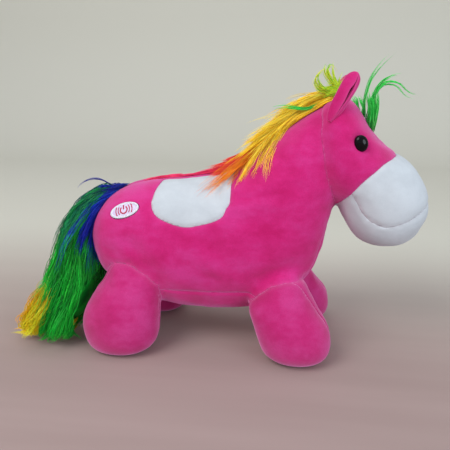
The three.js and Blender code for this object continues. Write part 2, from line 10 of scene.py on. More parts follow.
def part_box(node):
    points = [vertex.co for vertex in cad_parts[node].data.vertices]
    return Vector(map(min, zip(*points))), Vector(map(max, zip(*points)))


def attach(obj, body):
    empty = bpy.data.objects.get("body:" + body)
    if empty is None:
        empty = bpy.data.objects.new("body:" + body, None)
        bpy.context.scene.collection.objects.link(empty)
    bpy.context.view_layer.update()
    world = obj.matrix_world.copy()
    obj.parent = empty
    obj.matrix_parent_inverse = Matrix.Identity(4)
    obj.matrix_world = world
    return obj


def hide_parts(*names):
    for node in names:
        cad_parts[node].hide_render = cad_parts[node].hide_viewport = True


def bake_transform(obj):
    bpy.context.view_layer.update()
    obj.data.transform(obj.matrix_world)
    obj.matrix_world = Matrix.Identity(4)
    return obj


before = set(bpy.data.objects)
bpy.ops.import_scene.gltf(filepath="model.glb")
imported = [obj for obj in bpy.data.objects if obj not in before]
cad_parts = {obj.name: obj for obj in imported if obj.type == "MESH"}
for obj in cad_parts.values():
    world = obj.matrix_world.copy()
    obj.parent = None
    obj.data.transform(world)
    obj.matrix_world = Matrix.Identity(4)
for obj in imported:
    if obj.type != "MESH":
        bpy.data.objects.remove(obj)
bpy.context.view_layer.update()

# Lengths below are in millimetres in the pony's own frame, whose origin lies under the torso.
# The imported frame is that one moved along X, by the distance the sound unit shows.
UNIT_X = -12
unit_low, unit_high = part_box("unit_housing")
ORIGIN = np.array([(unit_low.x + unit_high.x) / 2 * 1000 - UNIT_X, 0, 0])
rng = np.random.default_rng(11)


def to_frame(points):
    """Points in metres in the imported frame."""
    return (np.asarray(points, float) + ORIGIN) / 1000


# ---- camera
CAMERA_YAW, CAMERA_PITCH = math.radians(8), math.radians(16.17)
CAMERA_RANGE, CAMERA_HEIGHT = 493, 262

camera_data = bpy.data.cameras.new("camera")
camera_data.sensor_width = 36
camera_data.lens = 40
camera = bpy.data.objects.new("camera", camera_data)
bpy.context.scene.collection.objects.link(camera)
camera.location = to_frame(
    [CAMERA_RANGE * math.sin(CAMERA_YAW), -CAMERA_RANGE * math.cos(CAMERA_YAW), CAMERA_HEIGHT]
)
camera.rotation_euler = (math.pi / 2 - CAMERA_PITCH, 0, CAMERA_YAW)
camera_data.clip_start, camera_data.clip_end = 0.02, 20
bpy.context.scene.camera = camera


# ---- numbers and noise
def spline(rows, steps):
    """A Catmull-Rom curve through rows of numbers, with steps samples between neighbours."""
    rows = np.asarray(rows, float)
    ends = np.vstack([2 * rows[0] - rows[1], rows, 2 * rows[-1] - rows[-2]])
    samples = []
    for i in range(1, len(rows)):
        a, b, c, d = ends[i - 1 : i + 3]
        for t in np.linspace(0, 1, steps, endpoint=False):
            square, cube = 2 * a - 5 * b + 4 * c - d, 3 * b - 3 * c + d - a
            samples.append(0.5 * (2 * b + (c - a) * t + square * t**2 + cube * t**3))
    samples.append(rows[-1])
    return np.array(samples)


def circle(sides):
    """Angles once round a ring."""
    return np.linspace(0, 2 * math.pi, sides, endpoint=False)


def unit(vectors):
    return vectors / np.linalg.norm(vectors, axis=-1, keepdims=True).clip(1e-12)


def kd_tree(points):
    tree = KDTree(len(points))
    for i, p in enumerate(points.tolist()):
        tree.insert(p, i)
    tree.balance()
    return tree


def along(line, t):
    """Points on a sampled line at shares t of its samples."""
    at = np.clip(np.asarray(t, float), 0, 1) * (len(line) - 1)
    low = np.minimum(at.astype(int), len(line) - 2)
    part = (at - low)[..., None]
    return line[low] * (1 - part) + line[low + 1] * part


LATTICE = rng.random(4096)


def noise(points, size, seed=0):
    """Smooth noise from -1 to 1 whose bumps are about size across."""
    p = np.asarray(points, float) / size + seed * 17.3
    cell = np.floor(p).astype(np.int64)
    f = p - cell
    f = f * f * (3 - 2 * f)
    total = np.zeros(len(p))
    for corner in range(8):
        bits = np.array([corner & 1, corner >> 1 & 1, corner >> 2 & 1])
        c = cell + bits
        value = LATTICE[(c[:, 0] * 73856093 ^ c[:, 1] * 19349663 ^ c[:, 2] * 83492791) % 4096]
        total += value * np.prod(np.where(bits, f, 1 - f), axis=1)
    return total * 2 - 1


def outline_distance(points, outline):
    """Signed distance in the side view to a closed outline, below zero inside it."""
    p = points[:, [0, 2]]
    a = np.asarray(outline, float)
    b = np.roll(a, -1, 0)
    nearest = np.full(len(p), 1e9)
    inside = np.zeros(len(p), bool)
    for (ax, az), (bx, bz) in zip(a, b):
        edge = np.array([bx - ax, bz - az])
        t = np.clip(((p - [ax, az]) @ edge) / (edge @ edge), 0, 1)
        nearest = np.minimum(nearest, np.linalg.norm(p - [ax, az] - t[:, None] * edge, axis=1))
        if az != bz:
            crosses = (az > p[:, 1]) != (bz > p[:, 1])
            inside ^= crosses & (p[:, 0] < (bx - ax) * (p[:, 1] - az) / (bz - az) + ax)
    return np.where(inside, -nearest, nearest)


def closed_curve(outline, steps=6):
    """A smooth closed outline through the given points."""
    ring = np.asarray(outline, float)
    padded = np.vstack([ring[-1:], ring, ring[:2]])
    return spline(padded, steps)[steps : -steps - 1]


# ---- meshes
def mesh_piece(name, points, faces):
    """A mesh object from points in millimetres and faces with equal corner counts."""
    faces = np.asarray(faces)
    sides = faces.shape[1]
    mesh = bpy.data.meshes.new(name)
    mesh.vertices.add(len(points))
    mesh.vertices.foreach_set("co", to_frame(points).astype(np.float32).ravel())
    mesh.loops.add(faces.size)
    mesh.loops.foreach_set("vertex_index", faces.astype(np.int32).ravel())
    mesh.polygons.add(len(faces))
    mesh.polygons.foreach_set("loop_start", np.arange(0, faces.size, sides, dtype=np.int32))
    mesh.polygons.foreach_set("use_smooth", np.full(len(faces), True))
    mesh.update(calc_edges=True)
    mesh.validate()
    piece = bpy.data.objects.new(name, mesh)
    bpy.context.scene.collection.objects.link(piece)
    return piece


def paint_seam_light(piece, share):
    """How much painted light the seams give each point, for the piece's material."""
    near = piece.data.attributes.new("seam", "FLOAT", "POINT")
    near.data.foreach_set("value", share.astype(np.float32))


def dress(piece, material):
    piece.data.materials.append(material)


def ring_grid(rings, sides, closed_ends=True):
    """Triangles of a tube whose points lie ring after ring, with its ends fanned shut."""
    r, s = np.meshgrid(np.arange(rings - 1), np.arange(sides), indexing="ij")
    a, b = r * sides + s, r * sides + (s + 1) % sides
    c, d = a + sides, b + sides
    faces = np.concatenate([np.stack([a, b, d], -1).reshape(-1, 3), np.stack([a, d, c], -1).reshape(-1, 3)])
    if not closed_ends:
        return faces
    last = (rings - 1) * sides
    k = np.arange(1, sides - 1)
    start = np.stack([np.zeros_like(k), k + 1, k], -1)
    end = np.stack([np.full_like(k, last), last + k, last + k + 1], -1)
    return np.concatenate([faces, start, end])


def power(value, exponent):
    """A power that keeps the sign of what it is given."""
    return np.sign(value) * np.abs(value) ** exponent


def loft(rings, poles, squareness, sides=64, steps=7):
    """Points and triangles of a stuffed form. A ring is its centre, then its two half axes."""
    body = spline(rings, steps)
    first, last = np.asarray(rings[0], float), np.asarray(rings[-1], float)
    turns = np.linspace(0.12, math.pi / 2, 5)[:-1]

    def cap(ring, pole):
        out = []
        for turn in turns:
            centre = pole + (ring[:3] - pole) * (1 - math.cos(turn))
            out.append(np.concatenate([centre, ring[3:] * math.sin(turn)]))
        return out

    all_rings = np.array(cap(first, poles[0]) + list(body) + cap(last, poles[1])[::-1])
    angle = circle(sides)
    cos, sin = (power(f(angle), 2 / squareness)[None, :, None] for f in (np.cos, np.sin))
    points = all_rings[:, None, :3] + cos * all_rings[:, None, 3:6] + sin * all_rings[:, None, 6:9]
    return points.reshape(-1, 3), ring_grid(len(all_rings), sides)


def rib_rings(rows):
    """Rings of a form drawn in the side view: top point, bottom point, half width, middle Y."""
    rings = []
    for top_x, top_z, low_x, low_z, half, *y in rows:
        y = y[0] if y else 0
        middle = [(top_x + low_x) / 2, y, (top_z + low_z) / 2]
        rings.append([*middle, (top_x - low_x) / 2, 0, (top_z - low_z) / 2, 0, half, 0])
    return rings


# Ribs from rump to neck and from poll to nose: top X and Z, bottom X and Z, half width.
TORSO_RIBS = [
    (-127, 139, -133, 84, 29),
    (-113, 152, -123, 66, 41),
    (-93, 161.5, -103, 51, 49),
    (-64, 167.5, -72, 39, 53),
    (-33, 170.5, -38, 33, 54),
    (0, 177, 0, 32, 53),
    (27, 190, 34, 36, 51),
    (47, 207, 62, 47, 48),
    (63, 221, 84, 68, 44.5),
    (77, 231, 96, 95, 41),
    (88, 237, 102, 122, 37.5),
    (97, 240, 107, 145, 32),
]
HEAD_RIBS = [
    (97, 243, 89, 224, 24),
    (112, 248, 85, 205, 37),
    (126, 237, 86, 185, 43),
    (137, 220, 90, 168, 45),
    (151, 205.5, 98, 157, 44.5),
    (164.5, 195.5, 109, 147.5, 43),
    (178, 185, 115.5, 134.5, 42.5),
    (189, 171, 123.5, 122, 41.5),
    (195.5, 157, 133, 112, 38.5),
    (196, 142, 147, 107, 33),
    (190, 128, 161, 106.5, 22),
]
# Leg rows: height, middle and half length along X, middle and half width in Y.
HIND_LEG = [
    (96, -88, 18, 31, 13),
    (86, -88.5, 24, 34, 19),
    (74, -87.5, 29, 38, 23),
    (60, -92, 34, 43, 26),
    (45, -96, 38, 47, 28),
    (30, -98, 39.5, 49, 29),
    (15, -98, 37.5, 49.5, 28.5),
    (5, -98.5, 31, 49.5, 25.5),
    (0, -99, 20, 49, 18),
]
FRONT_LEG = [
    (86, 61, 15, 31, 12),
    (76, 62, 21, 34, 19),
    (64, 61, 28, 38, 24),
    (52, 62, 34, 42, 26),
    (36, 70, 37, 46, 28),
    (20, 74.5, 35.5, 48, 28.5),
    (8, 76, 31, 48, 26),
    (0, 78, 20, 47.5, 17),
]
# The line in the side view, X and Z, at which each leg's panels are sewn to the body.
HIND_SEAM = [(-124, 88), (-110, 91), (-101, 92.5), (-86, 89.5), (-69, 80), (-52, 62)]
FRONT_SEAM = [(16, 42), (27, 56), (38, 67), (50, 76), (64, 80), (80, 80), (92, 70)]
# Each leg: its rows, its seam, its side, how far it leans forward at the foot, and its hip's height.
LEGS = {
    "hind_leg_right": (HIND_LEG, HIND_SEAM, -1, 0, 82),
    "hind_leg_left": (HIND_LEG, HIND_SEAM, 1, 12, 82),
    "front_leg_right": (FRONT_LEG, FRONT_SEAM, -1, 0, 72),
    "front_leg_left": (FRONT_LEG, FRONT_SEAM, 1, 4, 72),
}
# Where a leg's outer and inner panels meet, from the pony's middle.
LEG_RIM = 47
# Outlines in the side view, X and Z.
GUSSET = [(-160, 62), (70, 63), (84, 70), (93, 92), (98, 112), (106, 138), (140, 138), (140, -20), (-160, -20)]
SADDLE = closed_curve(
    [(-52, 182), (-62, 166), (-65, 157), (-65, 147), (-58, 138), (-43, 132), (-30, 130), (-18, 132), (-4, 136)]
    + [(4, 141), (7, 148), (10, 153), (10, 167), (9, 186), (-20, 196)]
)
MUZZLE = spline(
    [(104, 139), (109, 147), (113, 154), (119, 162), (128, 174), (141, 186), (149, 192), (157, 195), (164, 197)]
    + [(240, 215)],
    6,
).tolist() + [(240, 60), (104, 60)]
CHIN = closed_curve(
    [(112, 168), (118, 165), (124, 156), (130, 146), (138, 138), (150, 133), (159, 134), (170, 138), (181, 144)]
    + [(190, 150), (208, 158), (215, 120), (190, 88), (140, 90), (104, 120), (100, 150)]
)
# The belly flap: its middle X, half length and half width. The gusset's chest starts at CHEST_Z.
FLAP = (-12, 34, 22)
CHEST_Z = 60
# How deep each kind of seam pulls the cloth in, and how far to its sides that reaches.
SEAMS = {
    "neck": (0.7, 1.5),
    "leg": (1.8, 3.0),
    "leg rim": (0.5, 1.6),
    "gusset": (1.2, 1.9),
    "flap": (1.2, 2.0),
    "back": (1.0, 2.4),
    "saddle": (1.0, 1.9),
    "muzzle": (0.9, 1.8),
    "mouth": (0.75, 2.6),
    "face": (1.0, 2.2),
}
DEEPEST_SEAM = 1.8
SKIN_VOXEL, CLOTH_VOXEL = 0.0021, 0.0046


LEG_SQUARENESS, TORSO_SQUARENESS, HEAD_SQUARENESS = 2.2, 2.35, 2.15


def leg_loft(rows, side, lean, hip_z):
    """A leg's form, closed a little over its root and flat at its sole."""
    rings = []
    for z, x, half_x, y, half_y in rows:
        rings.append([x + lean * (1 - z / hip_z), side * y, z, half_x, 0, 0, 0, half_y, 0])
    top, sole = np.array(rings[0][:3]) + [0, 0, 3], np.array(rings[-1][:3])
    return loft(rings, (top, sole), LEG_SQUARENESS, sides=48)


forms = {
    "torso": loft(rib_rings(TORSO_RIBS), (np.array([-136, 0, 112]), np.array([108, 0, 190])), TORSO_SQUARENESS),
    "head": loft(rib_rings(HEAD_RIBS), (np.array([91, 0, 237]), np.array([180, 0, 114])), HEAD_SQUARENESS),
}
for leg, (rows, seam, side, lean, hip_z) in LEGS.items():
    forms[leg] = leg_loft(rows, side, lean, hip_z)

trees = {}
joined_points, joined_faces, count = [], [], 0
for form, (points, faces) in forms.items():
    trees[form] = BVHTree.FromPolygons(points.tolist(), faces.tolist())
    joined_points.append(points)
    joined_faces.append(faces + count)
    count += len(points)


# ---- one skin over all the stuffing
def skin_over(points, faces, voxel):
    """Points, triangles and edges of one even skin round overlapping forms."""
    blank = mesh_piece("skin", points, faces)
    remesh = blank.modifiers.new("remesh", "REMESH")
    remesh.mode, remesh.voxel_size = "VOXEL", voxel
    evaluated = blank.evaluated_get(bpy.context.evaluated_depsgraph_get())
    mesh = evaluated.to_mesh()
    skin = np.zeros(len(mesh.vertices) * 3)
    mesh.vertices.foreach_get("co", skin)
    quads = np.zeros(len(mesh.loops), int)
    mesh.loops.foreach_get("vertex_index", quads)
    edges = np.zeros(len(mesh.edges) * 2, int)
    mesh.edges.foreach_get("vertices", edges)
    evaluated.to_mesh_clear()
    bpy.data.objects.remove(blank)
    quads = quads.reshape(-1, 4)
    triangles = np.concatenate([quads[:, [0, 1, 2]], quads[:, [0, 2, 3]]])
    return skin.reshape(-1, 3) * 1000 - ORIGIN, triangles, edges.reshape(-1, 2)


def smoothed(points, edges, rounds, amount=0.5):
    """Points, or values at them, drawn towards the mean of their neighbours, round after round."""
    a, b = edges.T
    degree = np.bincount(np.concatenate([a, b]), minlength=len(points)).clip(1)
    for _ in range(rounds):
        total = np.zeros_like(points)
        for axis in range(points.shape[1]):
            total[:, axis] = np.bincount(a, points[b, axis], len(points))
            total[:, axis] += np.bincount(b, points[a, axis], len(points))
        points = points + (total / degree[:, None] - points) * amount
    return points


def normals_of(points, triangles):
    a, b, c = (points[triangles[:, i]] for i in range(3))
    face = np.cross(b - a, c - a)
    total = np.zeros_like(points)
    for axis in range(3):
        for corner in range(3):
            total[:, axis] += np.bincount(triangles[:, corner], face[:, axis], len(points))
    return unit(total)


def distance_to(form, points):
    tree = trees[form]
    return np.array([tree.find_nearest(p)[3] for p in points.tolist()])


joined = np.concatenate(joined_points), np.concatenate(joined_faces)
skin_points, skin_faces, skin_edges = skin_over(*joined, SKIN_VOXEL)
skin_points = smoothed(skin_points, skin_edges, 12)
to_form = {form: distance_to(form, skin_points) for form in forms}


class Part:
    """A piece of the skin: its points, its triangles, and values that go with the points."""

    def __init__(self, points, faces, values):
        self.points, self.faces, self.values = points, faces, values


CUTS = []


def split(part, level, seam=None):
    """Cuts a part along level = 0, with a seam there, and gives the side below zero, then the side
    above it."""
    level = np.where(np.abs(level) < 1e-6, 1e-6, level)
    tri = part.faces
    edges = np.sort(np.stack([tri, np.roll(tri, -1, 1)], -1), -1).reshape(-1, 2)
    crossing = level[edges[:, 0]] * level[edges[:, 1]] < 0
    unique, inverse = np.unique(edges[crossing], axis=0, return_inverse=True)
    a, b = unique.T
    t = (level[a] / (level[a] - level[b]))[:, None]
    new_points = part.points[a] * (1 - t) + part.points[b] * t
    new_values = part.values[a] * (1 - t) + part.values[b] * t
    ids = np.full(len(edges), -1)
    ids[crossing] = len(part.points) + inverse.ravel()
    ids = ids.reshape(-1, 3)
    points = np.vstack([part.points, new_points])
    values = np.vstack([part.values, new_values])
    sign = level[tri] > 0
    whole = sign.all(1) | ~sign.any(1)
    pieces = {False: [tri[whole & ~sign[:, 0]]], True: [tri[whole & sign[:, 0]]]}
    cut, cut_ids, cut_sign = tri[~whole], ids[~whole], sign[~whole]
    for k in range(3):
        lone = (cut_sign[:, k] != cut_sign[:, (k + 1) % 3]) & (cut_sign[:, k] != cut_sign[:, (k + 2) % 3])
        v0, v1, v2 = cut[lone, k], cut[lone, (k + 1) % 3], cut[lone, (k + 2) % 3]
        p01, p20 = cut_ids[lone, k], cut_ids[lone, (k + 2) % 3]
        for above in (False, True):
            mine = cut_sign[lone, k] == above
            pieces[above].append(np.stack([v0, p01, p20], -1)[mine])
            pieces[above].append(np.stack([p01, v1, v2], -1)[~mine])
            pieces[above].append(np.stack([p01, v2, p20], -1)[~mine])
    out = []
    for above in (False, True):
        faces = np.concatenate(pieces[above])
        used, faces = np.unique(faces, return_inverse=True)
        out.append(Part(points[used], faces.reshape(-1, 3), values[used]))
    if len(new_points) and seam:
        CUTS.append((new_points, *SEAMS[seam]))
    return out


# Values carried with the skin: normal, head against torso, then each leg against the torso
values = [normals_of(skin_points, skin_faces), (to_form["head"] - to_form["torso"])[:, None]]
for leg in LEGS:
    values.append((to_form[leg] - np.minimum(to_form["torso"], to_form["head"]))[:, None])
HEAD_VALUE, FIRST_LEG_VALUE = 3, 4
whole = Part(skin_points, skin_faces, np.hstack(values))

panels = {}
head, rest = split(whole, whole.values[:, HEAD_VALUE], "neck")
for i, (leg, (_, seam, side, lean, hip_z)) in enumerate(LEGS.items()):
    seam = np.asarray(seam, float)
    x, z = rest.points[:, 0], rest.points[:, 2]
    line = np.interp(x, seam[:, 0], seam[:, 1])
    past_ends = np.clip(seam[0, 0] - x, 0, None) * 1.2 + np.clip(x - seam[-1, 0], 0, None) * 1.2
    line -= past_ends
    other_side = np.where(rest.points[:, 1] * side > 0, -1e3, 1e3)
    level = np.maximum(np.maximum(z - line, rest.values[:, FIRST_LEG_VALUE + i]), other_side)
    sock, rest = split(rest, level, "leg")
    rim = (np.abs(sock.points[:, 1]) - LEG_RIM) * -1
    panels[f"{leg}_outer"], panels[f"{leg}_inner"] = split(sock, rim, "leg rim")

gusset, sides = split(rest, outline_distance(rest.points, GUSSET), "gusset")
flap_x, flap_half_x, flap_half_y = FLAP
x, y, z = gusset.points.T
in_flap = np.maximum(np.abs(x - flap_x) - flap_half_x, np.abs(y) - flap_half_y)
in_flap = np.where(z > CHEST_Z, 10, in_flap)
panels["belly_flap"], panels["belly_gusset"] = split(gusset, in_flap, "flap")
for name, part in zip(("side_panel_right", "side_panel_left"), split(sides, sides.points[:, 1], "back")):
    saddle = np.maximum(outline_distance(part.points, SADDLE), 7 - np.abs(part.points[:, 1]))
    panels[name.replace("side_panel", "saddle_patch")], panels[name] = split(part, saddle, "saddle")
muzzle, cheeks = split(head, outline_distance(head.points, MUZZLE), "muzzle")
mouth = outline_distance(muzzle.points, CHIN)
panels["chin_panel"], panels["muzzle_panel"] = split(muzzle, mouth, "mouth")
panels["cheek_panel_right"], panels["cheek_panel_left"] = split(cheeks, cheeks.points[:, 1], "face")

# ---- the press patch's own frame: third axis out of the flank
PATCH_AT = np.array([-92, -41, 142.0])
PATCH_LENGTH, PATCH_WIDTH, PATCH_GAP, PATCH_DEPTH = 31, 16, 0.35, 20
patch_axes = np.array(
    (Matrix.Rotation(math.radians(54), 3, "X") @ Matrix.Rotation(math.radians(-8), 3, "Y"))
    @ Matrix.Rotation(math.radians(12), 3, "Z")
)


def in_patch(points):
    return (points - PATCH_AT) @ patch_axes


# The flank has an opening there, a little larger than the patch, for the patch to sink into.
local = in_patch(panels["side_panel_right"].points)
reach = np.hypot(local[:, 0] / (PATCH_LENGTH / 2 + PATCH_GAP), local[:, 1] / (PATCH_WIDTH / 2 + PATCH_GAP)) - 1
reach = np.where(np.abs(local[:, 2]) > PATCH_DEPTH, 5, reach * PATCH_WIDTH / 2)
panels["side_panel_right"] = split(panels["side_panel_right"], reach)[1]

# ---- eyes: where they are sewn on each side, and their radius
EYE_AT = {-1: np.array([125, -38.5, 209.0]), 1: np.array([125, 38.5, 209.0])}
EYE_RADIUS = 6.8

# ---- every seam pulls the cloth in, and the stuffing fills it out again between the seams
seam_trees = [(kd_tree(points), depth, width) for points, depth, width in CUTS]


def seam_distance(points):
    """For each point the distance to its nearest seam, how deep the seams pull it in, and how much painted light the
    turned pile along the seams gets there."""
    nearest = np.full(len(points), 1e3)
    pull, painted_seam_light = np.zeros((2, len(points)))
    for tree, depth, width in seam_trees:
        far = np.array([tree.find(p)[2] for p in points.tolist()])
        nearest = np.minimum(nearest, far)
        pull = np.maximum(pull, depth * np.exp(-((far / width) ** 2)))
        painted_seam_light = np.maximum(painted_seam_light, min(depth / DEEPEST_SEAM, 1) * np.exp(-far / 1.2))
    return nearest, pull, painted_seam_light


# ---- cloth simulation: a coarse skin held at its seams, with the stuffing's pressure inside it
PRESSURE, FRAMES, MOST_PUSH = 4.0, 20, 3.0
# Cloth nearer a seam than HELD_TO is held, fully within HELD_TO - HELD_FADE. SLOW_SHARE of the push's
# slow part is taken out again.
HELD_TO, HELD_FADE, SLOW_SHARE = 7, 4, 0.75


def stuffed_offsets():
    """Where the points of a coarse skin lie, and how far the stuffing pushes each of them out."""
    points, faces, edges = skin_over(*joined, CLOTH_VOXEL)
    points = smoothed(points, edges, 6)
    normal = normals_of(points, faces)
    piece = mesh_piece("stuffing_test", points, faces)
    far, _, _ = seam_distance(points)
    held = piece.vertex_groups.new(name="held")
    for i, share in enumerate(np.clip((HELD_TO - far) / HELD_FADE, 0, 1).tolist()):
        if share > 0:
            held.add([i], share, "REPLACE")
    cloth = piece.modifiers.new("cloth", "CLOTH")
    cloth.settings.vertex_group_mass = "held"
    cloth.settings.quality = 5
    cloth.settings.mass = 0.3
    cloth.settings.bending_stiffness = 1.5
    cloth.settings.shrink_min = -0.01
    cloth.settings.use_pressure = True
    cloth.settings.uniform_pressure_force = PRESSURE
    cloth.settings.effector_weights.gravity = 0
    cloth.collision_settings.use_collision = False
    scene = bpy.context.scene
    for step in range(1, FRAMES + 1):
        scene.frame_set(step)
    evaluated = piece.evaluated_get(bpy.context.evaluated_depsgraph_get())
    pushed = np.zeros(len(points) * 3)
    evaluated.data.vertices.foreach_get("co", pushed)
    scene.frame_set(1)
    bpy.data.objects.remove(piece)
    pushed = pushed.reshape(-1, 3) * 1000 - ORIGIN
    push = ((pushed - points) * normal).sum(1, keepdims=True)
    push = MOST_PUSH * np.tanh(push / MOST_PUSH)
    # The forms already have their stuffed size, so only the cloth's own swells and tucks are kept.
    push = smoothed(push, edges, 2) - SLOW_SHARE * smoothed(push, edges, 60)
    return points, push[:, 0]


coarse_points, coarse_push = stuffed_offsets()
coarse_tree = kd_tree(coarse_points)


def pushed_out(points):
    """The simulated push at any points, from the coarse points nearest them."""
    found = [coarse_tree.find_n(p, 4) for p in points.tolist()]
    index = np.array([[hit[1] for hit in hits] for hits in found])
    weight = 1 / (np.array([[hit[2] for hit in hits] for hits in found]) + 0.5) ** 2
    return (coarse_push[index] * weight).sum(1) / weight.sum(1)


# How far the cloth swells between its seams, lies inside its form, and dips round an eye.
PUFF, SINK, SOCKET = 0.6, 0.7, 1.3
# Lumps of stuffing, and the puckers beside seams: height, size, seed.
LUMPS, PUCKERS = ((0.55, 34, 1), (0.22, 15, 2)), (0.35, 5.5, 3)
PUCKER_STRETCH, FLAT_ROUND_PATCH = (1, 1, 1.6), 24


def plumped(part):
    """The sewn and stuffed places of a part's points, and how much painted light the seams give them."""
    points, normal = part.points, part.values[:, :3]
    nearest, pull, painted_seam_light = seam_distance(points)
    puff = PUFF * (1 - np.exp(-nearest / 9)) + pushed_out(points)
    lumps = sum(high * noise(points, size, seed) for high, size, seed in LUMPS)
    lumps *= 1 - np.exp(-((np.linalg.norm(points - PATCH_AT, axis=1) / FLAT_ROUND_PATCH) ** 2))
    high, size, seed = PUCKERS
    puckers = high * noise(points * PUCKER_STRETCH, size, seed) * np.exp(-((nearest / 5) ** 2))
    socket = np.zeros(len(points))
    for centre in EYE_AT.values():
        away = np.linalg.norm(points - centre, axis=1)
        socket = np.maximum(socket, SOCKET * np.exp(-(((away - EYE_RADIUS) / 3.0) ** 2)))
    out = puff + lumps * np.clip(nearest / 6, 0.2, 1) - pull + puckers - socket - SINK
    return points + normal * out[:, None], painted_seam_light


CLOTH = 0.0014
LOWEST_CLOTH, LOWEST_HAIR = 0.05, 0.15
pieces = {}
for name, part in panels.items():
    moved, painted_seam_light = plumped(part)
    moved[:, 2] = np.maximum(moved[:, 2], LOWEST_CLOTH)
    piece = mesh_piece(f"{name}_cloth", moved, part.faces)
    paint_seam_light(piece, painted_seam_light)
    shell = piece.modifiers.new("cloth", "SOLIDIFY")
    shell.thickness, shell.offset = CLOTH, -1
    pieces[piece.name] = piece


# ---- materials
def linear(colour):
    """A display colour, 0 to 255, as the linear colour shaders take."""
    c = np.array(colour) / 255
    return (*np.where(c <= 0.04045, c / 12.92, ((c + 0.055) / 1.055) ** 2.4), 1.0)


def new_material(name, **sockets):
    material = bpy.data.materials.new(name)
    material.use_nodes = True
    shader = material.node_tree.nodes["Principled BSDF"]
    for socket, value in sockets.items():
        shader.inputs[socket.replace("_", " ")].default_value = value
    return material, material.node_tree, shader


def add(tree, kind, output, inputs, **settings):
    """A new node's output. The node's inputs are fed with sockets or constants."""
    node = tree.nodes.new(kind)
    for key, value in settings.items():
        setattr(node, key, value)
    for key, value in inputs.items():
        if isinstance(value, bpy.types.NodeSocket):
            tree.links.new(value, node.inputs[key])
        else:
            node.inputs[key].default_value = value
    return node.outputs[output]


def ramp(tree, source, stops):
    """A colour ramp. Its stops are places with linear colours."""
    node = tree.nodes.new("ShaderNodeValToRGB")
    elements = node.color_ramp.elements
    while len(elements) < len(stops):
        elements.new(0.5)
    for element, (place, colour) in zip(elements, stops):
        element.position, element.color = place, colour
    tree.links.new(source, node.inputs["Fac"])
    return node.outputs["Color"]


def dyes(tree, source, stops):
    """A colour ramp whose stops are display colours."""
    return ramp(tree, source, [(place, linear(colour)) for place, colour in stops])


def greys(tree, source, stops):
    """A colour ramp whose stops are brightnesses."""
    return ramp(tree, source, [(place, (value, value, value, 1)) for place, value in stops])


def object_place(tree):
    return add(tree, "ShaderNodeTexCoord", "Object", {})


def paint(tree, shader, colour):
    tree.links.new(colour, shader.inputs["Base Color"])


def noise_node(tree, vector, scale, detail=2.0, roughness=0.5):
    inputs = {"Vector": vector, "Scale": scale, "Detail": detail, "Roughness": roughness}
    return add(tree, "ShaderNodeTexNoise", "Fac", inputs)


def stretched(tree, vector, scale, turn=(0, 0, 0)):
    return add(tree, "ShaderNodeMapping", "Vector", {"Vector": vector, "Scale": scale, "Rotation": turn})


def mixed(tree, kind, factor, a, b):
    return add(tree, "ShaderNodeMix", 2, {0: factor, 6: a, 7: b}, data_type="RGBA", blend_type=kind)


def arithmetic(tree, operation, a, b):
    return add(tree, "ShaderNodeMath", 0, {0: a, 1: b}, operation=operation)


def bump(tree, shader, height, strength, distance):
    inputs = {"Height": height, "Strength": strength, "Distance": distance}
    tree.links.new(add(tree, "ShaderNodeBump", "Normal", inputs), shader.inputs["Normal"])


def short_pile(name, deep, middle, brushed, seam_light_tone, sheen, sheen_tint, pile=0.3, fleck=0.08):
    """Minky plush: a dense short pile whose tone changes with the way it was last brushed, with painted light along its
    seams.
    """
    material, tree, shader = new_material(
        name,
        Roughness=0.8,
        Specular_IOR_Level=0.12,
        Sheen_Weight=sheen,
        Sheen_Roughness=0.5,
        Sheen_Tint=linear(sheen_tint),
    )
    place = object_place(tree)
    strokes = noise_node(tree, stretched(tree, place, (0.5, 1, 1), (0.3, 0.5, 0.2)), 60, 3, 0.6)
    clouds = noise_node(tree, place, 22, 3, 0.55)
    nap = noise_node(tree, stretched(tree, place, (0.8, 0.8, 1), (0.7, 0.4, 0.9)), 170, 3, 0.6)
    tone = arithmetic(tree, "MULTIPLY", strokes, 0.35)
    for share, source in ((0.5, clouds), (0.15, nap)):
        tone = arithmetic(tree, "ADD", tone, arithmetic(tree, "MULTIPLY", source, share))
    base = dyes(tree, tone, [(0.38, deep), (0.49, middle), (0.61, brushed)])
    fibres = noise_node(tree, place, 1100, 2, 0.6)
    flecks = greys(tree, fibres, [(0.3, 1 - fleck), (0.7, 1 + fleck)])
    base = mixed(tree, "MULTIPLY", 1.0, base, flecks)
    # Painted light along the seams, where the pile turns: the base is mixed towards a lighter tone, pinker on the white
    # pile.
    seam = add(tree, "ShaderNodeAttribute", "Fac", {}, attribute_name="seam")
    base = mixed(tree, "MIX", arithmetic(tree, "MULTIPLY", seam, 0.4), base, linear(seam_light_tone))
    paint(tree, shader, base)
    height = arithmetic(tree, "ADD", fibres, arithmetic(tree, "MULTIPLY", strokes, 1.4))
    bump(tree, shader, height, pile, 0.0006)
    return material


# Deep, middle and brushed tones, the painted light along a seam, then the sheen and its tint.
pink_pile = short_pile(
    "pink_pile", (190, 14, 98), (202, 28, 114), (208, 48, 132), (220, 96, 162), 0.9, (240, 160, 220)
)
# The legs' pile: the same pink painted darker, as painted shade, with a stronger sheen.
leg_pile = short_pile(
    "leg_pile", (176, 16, 92), (188, 30, 108), (196, 52, 126), (212, 96, 156), 1.0, (248, 172, 224)
)
white_pile = short_pile(
    "white_pile", (190, 196, 202), (196, 202, 208), (203, 209, 215), (208, 196, 202), 0.2, (235, 240, 255), 0.04, 0.02
)
PILES = {
    "side_panel": pink_pile,
    "belly": pink_pile,
    "cheek": pink_pile,
    "leg": leg_pile,
    "saddle": white_pile,
    "muzzle": white_pile,
    "chin": white_pile,
}
for name, piece in pieces.items():
    pile = next(pile for word, pile in PILES.items() if word in name)
    dress(piece, pile)


# ---- riding
def carry(piece, body, *nodes):
    """Lets a piece ride a body and stand for CAD nodes."""
    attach(piece, body)
    if nodes:
        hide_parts(*nodes)
    return piece
